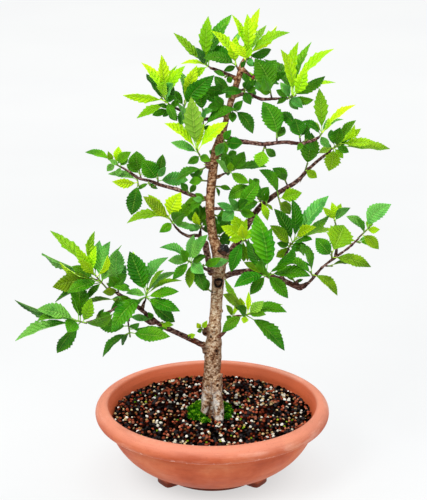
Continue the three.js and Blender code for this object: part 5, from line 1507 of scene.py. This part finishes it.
def bark(n):
    """Flaky bark, grey low on the trunk, then pale, then brown, and dark on the branches, with painted shade
    on the trunk's sides.
    """
    level = n.parts(n.place())[2]
    on_branch, hollow, stain, flank_shade = (n.share(name) for name in ("branch", "hollow", "stain", "flank_shade"))
    flake = n.grain(330, 6, 0.7, stretch=(0.85, 0.85, 1.1))
    patch = n.grain(62, 4, 0.6, stretch=(1, 1, 0.7))
    dash = n.grain(300, 4, 0.55, stretch=(0.45, 0.45, 2.2))
    fine = n.grain(900, 4, 0.65)
    old = n.stops(flake, (0.38, "54321f"), (0.45, "835a3e"), (0.52, "bd9572"), (0.61, "ead6bc"))
    pale = n.stops(flake, (0.38, "5a3420"), (0.45, "a97b58"), (0.52, "dab894"), (0.61, "f8e8d0"))
    brown = n.stops(flake, (0.37, "2e140b"), (0.44, "6a3d25"), (0.52, "a87450"), (0.62, "dcb690"))
    twig = n.stops(flake, (0.38, "1a0c09"), (0.46, "442823"), (0.55, "744e46"), (0.65, "b4968c"))
    to_pale = n.passing(level + patch * 0.06, PALE_HEIGHTS)
    to_brown = n.passing(level + patch * 0.12, BROWN_HEIGHTS)
    trunk = n.blend(to_brown, n.blend(to_pale, old, pale), brown)
    tone = n.blend(n.spread(on_branch + patch * 0.3, 0.2, 1.0), trunk, twig)
    ruddy = n.spread(patch, 0.54, 0.64) * n.passing(level, RUDDY_HEIGHTS)
    warmed = n.blend(ruddy * 0.5, tone, "7a3e22")
    white = n.spread(n.grain(105, 4, 0.65), 0.47, 0.56) * n.passing(level + patch * 0.05, CHALKY_HEIGHTS)
    chalky = n.blend(white * 0.9, warmed, "efece4")
    dotted = n.blend(n.spread(dash, 0.6, 0.68) * 0.6, chalky, "d8bfa6")
    apart, of_cell = n.cells(150, stretch=(1, 1, 0.8))
    chosen = n.spread(n.parts(of_cell["Color"])[0], 0.66, 0.72)
    pit = n.spread(apart, 0.26, 0.14) * chosen * n.passing(level, PIT_HEIGHTS)
    pitted = n.blend(pit * 0.9, dotted, "2c150d")
    stained = n.blend(n.spread(stain + flake * 0.8, 0.55, 0.95) * 0.75, pitted, "43200f")
    # Painted shade on the trunk's sides.
    shaded = n.blend(n.spread(flank_shade + flake * 0.5, 0.75, 1.25) * 0.45, stained, "6a4028")
    cracked = n.blend(n.spread(dash, 0.42, 0.33) * 0.8, shaded, "2a150e")
    dark = n.blend(n.spread(hollow, 0.15, 0.6), cracked, "150b08")
    return {
        "Base Color": n.blend(n.spread(fine, 0.56, 0.7) * 0.5, dark, "2e1c15"),
        "Roughness": n.varied(flake, 0.62, 0.85),
        "Normal": n.bump(flake * 0.9 + fine * 0.4 + dash * 0.4 - pit * 0.7, 0.0016, 0.9),
    }


def make_wood():
    paths = limb_paths()
    wood = raw_wood(paths)
    grow_bark(wood.data, paths)
    dress(wood, finish_of("Medlar bark", bark, Specular_IOR_Level=0.08))
    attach(wood, "root")
    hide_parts("trunk_and_branches")


def wound_paste(n):
    ridges = n.grain(420, 3)
    smear = n.grain(170, stretch=(1, 0.4, 1))
    return {
        "Base Color": n.stops(smear, (0.44, "030303"), (0.52, "140b08"), (0.6, "5a3224")),
        "Roughness": n.varied(ridges, 0.22, 0.5),
        "Normal": n.bump(ridges, 0.0008, 0.6),
    }


def make_seal():
    blob = bmesh.new()
    bmesh.ops.create_icosphere(blob, subdivisions=5, radius=1)
    for vertex in blob.verts:
        lump = 0.97 + 0.16 * noise.fractal(vertex.co * 3.1, 0.8, 2, 5)
        sizes = zip(vertex.co, SEAL_SIZE, SEAL_CENTRE)
        vertex.co = Vector([c * lump * size * SEAL_SHARE + at for c, size, at in sizes]) * MM
    seal = add_object("wound_paste", mesh_of("wound_paste", blob))
    smooth_faces(seal.data)
    dress(seal, finish_of("Wound paste", wound_paste, Specular_IOR_Level=0.35))
    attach(seal, "root")
    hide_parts("wound_seal")


# Leaves

class Draws:
    """The seeded draws that bend the leaves, in the order of the leaves. The solids' leaves take the same."""

    SEED, FACTOR, STEP, RANGE = 20417, 1664525, 1013904223, 4294967296

    def __init__(self):
        self.at = self.SEED

    def between(self, span):
        self.at = (self.at * self.FACTOR + self.STEP) % self.RANGE
        return span[0] + (span[1] - span[0]) * self.at / self.RANGE


def half_width(form, share):
    """A blade's half width along it, as a share of its widest: slim at the stalk, pointed at the tip."""
    if share < form["widest"]:
        wide = (1 - ((form["widest"] - share) / form["widest"]) ** form["shoulder"]) ** form["foot"]
    else:
        wide = (1 - ((share - form["widest"]) / (1 - form["widest"])) ** form["point"]) ** TIP_FULLNESS
    return max(LEAST_WIDTH, wide)


def blade_point(form, row, step, under):
    """A point of a blade's upper or under side. It holds, as shares of the leaf, how far along it is, how far
    across and how high; then its height and width beyond that in metres, its side, and where it is on the
    map of the veins, which is 1 wide and counts the side veins along."""
    rows = 2 * form["teeth"]
    middle = row / rows
    apart = COLUMNS[abs(step)]
    hand = (step > 0) - (step < 0)
    toothed = clamp((middle - TEETH_START) / TEETH_GROWTH) * apart ** 4 * (row < rows)
    tooth = 1 if row % 2 == 0 else -1
    share = middle + SWEEP * math.sin(math.pi * middle) * apart + TEETH_LEAN * tooth * toothed / rows
    wide = half_width(form, share) * apart * (1 + form["depth"] * tooth * toothed)
    quilt = -tooth * QUILT * math.sin(math.pi * apart) * math.sin(math.pi * middle) ** 0.5
    groove = -GROOVE * math.sin(math.pi * min(1, middle * 1.02)) * (step == 0)
    lift = BLADE_THICK * MM * 0.5 * (1 - BLADE_THINNING * apart) * (1 - 2 * under)
    return share, hand * wide, quilt + groove, lift, 0, under, hand * apart, middle * form["teeth"]


def rib_points():
    """Rings round the stalk and the midrib, as blade points, with 2 for their side."""
    found = []
    for share, radius in RIB:
        relief = -GROOVE * math.sin(math.pi * share) if share > 0 else 0
        drop = 0 if share < 0 else RIB_DROP
        for turn in turns(RIB_SIDES):
            rise = radius * math.sin(turn + RIB_TURN) - drop
            girth = radius * math.cos(turn + RIB_TURN)
            found.append((share, 0, relief, rise * MM, girth * MM, 2, 0, 0))
    return found


def blade_shape(name):
    """One leaf, flat, with its stalk and midrib. Each point keeps where it is as shares of the leaf, which
    the leaf's own size and bend then turn into a place."""
    form = BLADES[name]
    rows, edge = 2 * form["teeth"], len(COLUMNS) - 1
    spots = [(row, step) for row in range(rows + 1) for step in range(-edge, edge + 1)]
    number = {spot: k for k, spot in enumerate(spots)}
    below = len(spots)
    points = [blade_point(form, *spot, under) for under in (0, 1) for spot in spots]
    faces = []
    for row in range(rows):
        for step in range(-edge, edge):
            ring = [(row, step), (row, step + 1), (row + 1, step + 1), (row + 1, step)]
            faces.append(tuple(number[spot] for spot in ring))
            faces.append(tuple(below + number[spot] for spot in reversed(ring)))
    walls = len(faces)
    outline = [(row, edge) for row in range(rows)] + [(rows, step) for step in range(edge, -edge, -1)]
    outline += [(row, -edge) for row in range(rows, 0, -1)] + [(0, step) for step in range(-edge, edge)]
    for spot, after in zip(outline, outline[1:] + outline[:1]):
        here, there = number[spot], number[after]
        faces.append((below + here, below + there, there, here))
    ribs = len(faces)
    close_rings(faces, len(points), len(RIB), RIB_SIDES)
    points += rib_points()

    mesh = mesh_from(name, [(share, across, lift) for share, across, _, lift, *_ in points], faces)
    mark(mesh, "share", "FLOAT_VECTOR", [point[:3] for point in points])
    mark(mesh, "exact", "FLOAT_VECTOR", [point[3:6] for point in points])
    vein_map = mesh.uv_layers.new(name="veins")
    for loop in mesh.loops:
        vein_map.data[loop.index].uv = points[loop.vertex_index][6:]
    sharp = {key for wall in mesh.polygons[walls:ribs] for key in wall.edge_keys}
    flags = [tuple(sorted(edge.vertices)) in sharp for edge in mesh.edges]
    mesh.attributes.new("sharp_edge", "BOOLEAN", "EDGE").data.foreach_set("value", flags)
    return bpy.data.objects.new(name, mesh)


def leaf_tree(young, mature):
    """Bends one flat blade into each leaf of a spur. A point of the input mesh is a leaf, and holds its ways
    along, across and up, its size and its bends."""
    n, given = repeating("Bent leaves", {
        "Young blade": ("Object", young),
        "Mature blade": ("Object", mature),
        "Wave": ("Float", 0.016),
        "Crease": ("Float", 1.1),
        "Material": ("Material", None),
    })
    rooted = n.store(given["Geometry"], "root", n.add("GeometryNodeInputPosition"), "FLOAT_VECTOR")
    copies = []
    for kind, chosen in (("Young blade", "LESS_THAN"), ("Mature blade", "GREATER_THAN")):
        placed = n.add("GeometryNodeInstanceOnPoints", {
            "Points": rooted, "Selection": n.math(chosen, n.read("age", "FLOAT"), 0.5),
            "Instance": n.add("GeometryNodeObjectInfo", {"Object": given[kind]}).outputs["Geometry"]})
        copies.append(placed.outputs[0])
    plain = n.add("GeometryNodeRealizeInstances", [n.joined(*copies)])
    share, across, relief = n.parts(n.read("share"))
    lift, girth, _ = n.parts(n.read("exact"))
    length, width, stalk = n.parts(n.read("size"))
    arch, fold, bow = n.parts(n.read("bend"))
    on_stalk = n.math("MINIMUM", share, 0.0) + 1
    on_blade = n.math("MAXIMUM", share, 0.0)
    reach = stalk * on_stalk + (length - stalk) * on_blade
    part = reach / length
    curve = 4 * part * (1 - part)
    apart = abs(across)
    out = across * width * 0.5 + girth + bow * curve
    phase = share * 13 + n.read("phase", "FLOAT") + n.math("SIGN", across)
    ripple = n.math("SINE", phase) * apart * apart * length * given["Wave"]
    rise = arch * curve + fold * apart ** given["Crease"] * width * 0.5 + relief * length + lift + ripple
    place = n.read("root")
    for way, distance in (("along", reach), ("side", out), ("face", rise)):
        place = n.moved(place, n.read(way), distance)
    bent = n.add("GeometryNodeSetPosition", {"Geometry": plain, "Position": place})
    return end_tree(n, bent, given["Material"])


def green_leaf(n):
    """The leaf's own tone, mottled and with a pale midrib and side veins. Its underside is paler. Lighter and
    darker patches are partly random tone and partly painted highlight and painted shade, and painted shade
    darkens the groove along the midrib.
    """
    tone = n.held("tone")
    base = tone["Color"]
    x, y, _ = n.parts(n.add("ShaderNodeUVMap", uv_map="veins"))
    side = n.parts(n.held("exact")["Vector"])[2]
    grown_up = n.share("age")
    from_rib = abs(x)
    from_vein = abs(n.math("FRACT", y + 0.5) - 0.5)
    inner = n.spread(from_rib, 1.0, 0.6)
    side_vein = n.spread(from_vein, 0.1, 0.015) * inner * n.share("veining")
    on_vein = n.math("MAXIMUM", side_vein, n.spread(from_rib, 0.075, 0.02))
    web, _ = n.cells(620, "DISTANCE_TO_EDGE")
    mottle = n.grain(110, 5, 0.6)
    mood = n.grain(24, 3)
    mottled = n.spread(mottle, 0.42, 0.62) * (grown_up * 0.55 + 0.04)
    deep = n.blend(mottled, base, n.tinted(base, 0.505, 1.05, 0.45))
    # Lighter patches: partly random tone and partly a painted highlight.
    lit = n.spread(mood, 0.46, 0.6) * (grown_up * 0.3 + 0.35)
    lit_patches = n.blend(lit, deep, n.tinted(base, 0.475, 1.0, 1.5))
    # Darker patches: partly random tone and partly painted shade.
    dimmed = n.spread(mood, 0.47, 0.36) * (grown_up * 0.35 + 0.15)
    shaded_patches = n.blend(dimmed, lit_patches, n.tinted(base, 0.51, 1.0, 0.4))
    pale = n.blend(0.4, n.tinted(base, 0.485, 0.92, 2.0), "bcdc50")
    # Painted shade in the groove along the midrib.
    groove_shaded = n.blend(n.spread(from_rib, 0.26, 0.08) * 0.35, shaded_patches, n.tinted(base, 0.51, 1.0, 0.45))
    veined = n.blend(on_vein * n.spread(mottle, 0.38, 0.58, 0.58, 0.34), groove_shaded, pale)
    webbed = n.blend(n.spread(web, 0.07, 0.0) * 0.12, veined, pale)
    sided = n.blend(n.spread(side, 0.1, 0.9), webbed, n.tinted(webbed, 0.495, 0.85, 1.3))
    furrow = n.spread(from_vein, 0.4, 0.0) * inner
    relief = furrow * -1.2 + n.grain(500, 3) * 0.35 + n.spread(web, 0.0, 0.2) * 0.2
    return {
        "Base Color": n.blend(n.spread(side, 1.3, 1.9), sided, pale),
        "Roughness": n.spread(mottle, 0.3, 0.7, -0.04, 0.1) + tone["Alpha"],
        "Normal": n.bump(relief, 0.0011, 0.8),
    }


def leaf_of(row, draws):
    """A leaf's ways, size, bends and tone, from its row of the table. The draws are made for each leaf, also
    where the row says how far it bows."""
    _, clock, lean, length, width, turn, tone, *given_bow = row
    arch = length * draws.between(ARCH_SHARE)
    fold = draws.between(FOLD)
    bow = draws.between(BEND_SHARE)
    if given_bow:
        bow = given_bow[0]
    clock, lean, turn = (math.radians(v) for v in (clock, lean, turn))
    flat = math.cos(lean)
    along = Vector((math.cos(clock) * flat, -math.sin(lean), math.sin(clock) * flat))
    wide_open = (FRONT - along * FRONT.dot(along)).normalized()
    skyward = along.cross(wide_open)
    if skyward.z < 0:
        skyward.negate()
    face = wide_open * math.cos(turn) + skyward * math.sin(turn)
    stalk = STALK_SHARE * length + LONG_STALK_SHARE * max(0, length - LONG_LEAF)
    return {
        "along": along, "side": face.cross(along), "face": face,
        "size": (length * MM, width * MM, stalk * MM),
        "bend": (arch * MM, fold, length * bow * MM),
    }, tone


def leaf_points(name, stem, rows, draws, moods):
    """A mesh with one point for each leaf, holding all that the leaf tree and the leaf's material read."""
    start, end = (Vector(p) for p in stem)
    mesh = bpy.data.meshes.new(name)
    mesh.from_pydata([tuple(start.lerp(end, row[0]) * MM) for row in rows], [], [])
    leaves = [leaf_of(row, draws) for row in rows]
    for key in leaves[0][0]:
        mark(mesh, key, "FLOAT_VECTOR", [tuple(ways[key]) for ways, _ in leaves])
    tones = [tone for _, tone in leaves]
    colours = []
    for tone in tones:
        code, rough, _ = TONES[tone]
        r, g, b, _ = shade(code)
        light = moods.uniform(0.68, 1.2)
        warm = moods.uniform(0.84, 1.16)
        colours.append((r * light * warm, g * light, b * light / warm, rough))
    mark(mesh, "tone", "FLOAT_COLOR", colours)
    mark(mesh, "veining", "FLOAT", [TONES[tone][2] for tone in tones])
    mark(mesh, "age", "FLOAT", [tone not in YOUNG_TONES for tone in tones])
    mark(mesh, "phase", "FLOAT", [moods.uniform(0, 6.3) for _ in tones])
    return mesh


def leaf_piece(name, mesh, tree, finish):
    leaves = grown(name, mesh, tree, Material=finish)
    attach(leaves, "root")
    return leaves


def make_leaves():
    """Large leaves, young ones on the same spurs, and the leaves of the shoots that no solid has."""
    blades = [blade_shape(name) for name in BLADES]
    tree = leaf_tree(*blades)
    draws = Draws()
    moods = random.Random(11)
    finish = finish_of("Medlar leaf", green_leaf, Specular_IOR_Level=0.16, Subsurface_Weight=0.12,
                       Subsurface_Radius=(0.4, 1.0, 0.2), Subsurface_Scale=0.003)
    large = {name: leaf_points(name, stem, rows, draws, moods) for name, (stem, rows, _) in SPURS.items()}
    small = {name: leaf_points(name, stem, rows, draws, moods)
             for name, (stem, _, rows) in SPURS.items() if rows}
    for name, mesh in large.items():
        spray = leaf_piece(f"foliage_{name}", mesh, tree, finish)
        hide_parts(f"leaves_{name}")
        if name in small:
            leaf_piece(f"young_{name}", small[name], tree, finish)
    for name, (stem, rows) in SHOOTS.items():
        leaf_piece(f"shoot_{name}", leaf_points(name, stem, rows, draws, moods), tree, finish)
    for blade in blades:
        bpy.data.objects.remove(blade)


# Stems, thorns and buds

def young_bark(n):
    """Brown at the foot of a spur and green where its leaves leave it."""
    ring = n.grain(240, 3)
    tint = n.stops(ring, (0.3, "2b1a14"), (0.5, "4a3022"), (0.7, "6d5030"))
    return {
        "Base Color": n.blend(n.spread(n.share("tip") + ring * 0.6, 0.55, 1.0) * 0.8, tint, "6c8a2c"),
        "Roughness": n.varied(ring, 0.5, 0.7),
        "Normal": n.bump(n.grain(800, 3), 0.0006, 0.6),
    }


def spur_stem(stem, points, faces):
    """A short stem ringed by the scars of old bud scales, ending in a bud."""
    start, end = (Vector(p) for p in stem)
    ahead = (end - start).normalized()
    reach = (end - start).length + STEM_PAST
    path = [(*(start - ahead * SUNK), STEM_FOOT_RADIUS)]
    count = max(4, round(reach / RING_STEP))
    for k in range(count + 1):
        radius = STEM_RADIUS - STEM_TAPER * k / count + RING_RELIEF[k % 2]
        path.append((*(start + ahead * reach * k / count), radius))
    for past, radius in END_BUD:
        path.append((*(start + ahead * (reach + past)), radius))
    tube(path, STEM_SIDES, points, faces)


def thorn(base, tip, points, faces):
    base, tip = Vector(base), Vector(tip)
    foot = base - (tip - base).normalized() * SUNK
    places = (foot, base, base.lerp(tip, 0.6), tip)
    tube([(*place, radius) for place, radius in zip(places, THORN_RADII)], THORN_SIDES, points, faces)


def tip_shares(mesh):
    """How far each point of the stems is along its own stem, from its foot to its end."""
    stems = [stem for stem, *_ in (*SPURS.values(), *SHOOTS.values())]
    ends = [(Vector(start) * MM, Vector(end) * MM) for start, end in stems]
    middles = finder([start.lerp(end, 0.5) for start, end in ends])
    shares = []
    for point in per_vertex(mesh, "co"):
        start, end = ends[middles.find(point)[1]]
        along = end - start
        shares.append(clamp((Vector(point) - start).dot(along) / along.length_squared))
    return shares


def make_stems():
    """The stems of the spurs with the thorns, and those of the shoots, which no solid has."""
    finish = finish_of("Young bark", young_bark)
    for name, spurs, thorns in (("spur_stems", SPURS, THORNS), ("shoot_stems", SHOOTS, [])):
        points, faces = [], []
        for stem, *_ in spurs.values():
            spur_stem(stem, points, faces)
        for base, tip in thorns:
            thorn(base, tip, points, faces)
        stems = add_object(name, mesh_from(name, points, faces))
        mark(stems.data, "tip", "FLOAT", tip_shares(stems.data))
        dress(stems, finish)
        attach(stems, "root")
        if spurs is SPURS:
            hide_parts(*(f"leaves_{name}" for name in SPURS))


def red_bud(n):
    scales = n.grain(900, 3)
    return {
        "Base Color": n.stops(scales, (0.38, "4e120a"), (0.5, "8c2a18"), (0.64, "c4603a")),
        "Roughness": n.varied(scales, 0.4, 0.6),
        "Normal": n.bump(scales, 0.0005),
    }


def make_buds():
    points, faces = [], []
    for base, tip, radius in BUDS:
        path = [(*Vector(base).lerp(Vector(tip), share), radius * size) for share, size in BUD_SWELL]
        tube(path, STEM_SIDES, points, faces)
    buds = add_object("red_buds", mesh_from("red_buds", points, faces))
    dress(buds, finish_of("Red bud", red_bud))
    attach(buds, "root")


# Studio

def pale_floor(n):
    """Glows by itself, so that the shadows on it stay faint, and glows less under the pot, which paints a
    soft shadow there.
    """
    outward, _ = n.outward()
    under = n.spread(outward, *POT_SHADOW_RADII)
    far = n.spread(outward, *FAR_AWAY)
    return {
        "Base Color": n.stops(n.grain(3, 2), (0.3, "6b6c6e"), (0.7, "707173")),
        "Emission Color": n.stops(n.grain(2, 2), (0.3, "f4f5f5"), (0.7, "f6f7f6")),
        # The glow is lower under the pot, which paints a soft shadow there.
        "Emission Strength": FLOOR_GLOW - FLOOR_SHADOW_LOSS * under + FLOOR_GAIN * far,
    }


def make_floor():
    corners = [(x * FLOOR_REACH, y * FLOOR_REACH, 0) for x, y in ((-1, -1), (1, -1), (1, 1), (-1, 1))]
    floor = add_object("floor", mesh_from("floor", corners, [(0, 1, 2, 3)]))
    dress(floor, finish_of("Pale floor", pale_floor, Roughness=0.95, Specular_IOR_Level=0.0))


def make_lights():
    world = bpy.data.worlds.new("Studio")
    bpy.context.scene.world = world
    world.use_nodes = True
    background = world.node_tree.nodes["Background"].inputs
    background["Color"].default_value = WORLD_COLOUR
    background["Strength"].default_value = WORLD_STRENGTH
    for name, place, size, power, colour in LIGHTS:
        data = bpy.data.lights.new(name, "AREA")
        data.size = size
        data.energy = power
        data.color = colour
        light = add_object(name, data)
        light.location = place
        light.rotation_euler = (Vector(LIGHTS_AIM) - Vector(place)).to_track_quat("-Z", "Y").to_euler()
    bpy.context.scene.view_settings.view_transform = "Standard"


def make_camera():
    data = bpy.data.cameras.new("camera")
    data.sensor_width = CAMERA_FRAME
    data.lens = CAMERA_LENS
    camera = add_object("camera", data)
    camera.location = CAMERA_PLACE
    camera.rotation_euler = (math.radians(90 - CAMERA_DOWN), 0, 0)
    bpy.context.scene.camera = camera


make_camera()
make_floor()
make_lights()
make_pot()
dress_screens()
make_soil()
make_moss()
make_wood()
make_seal()
make_leaves()
make_stems()
make_buds()
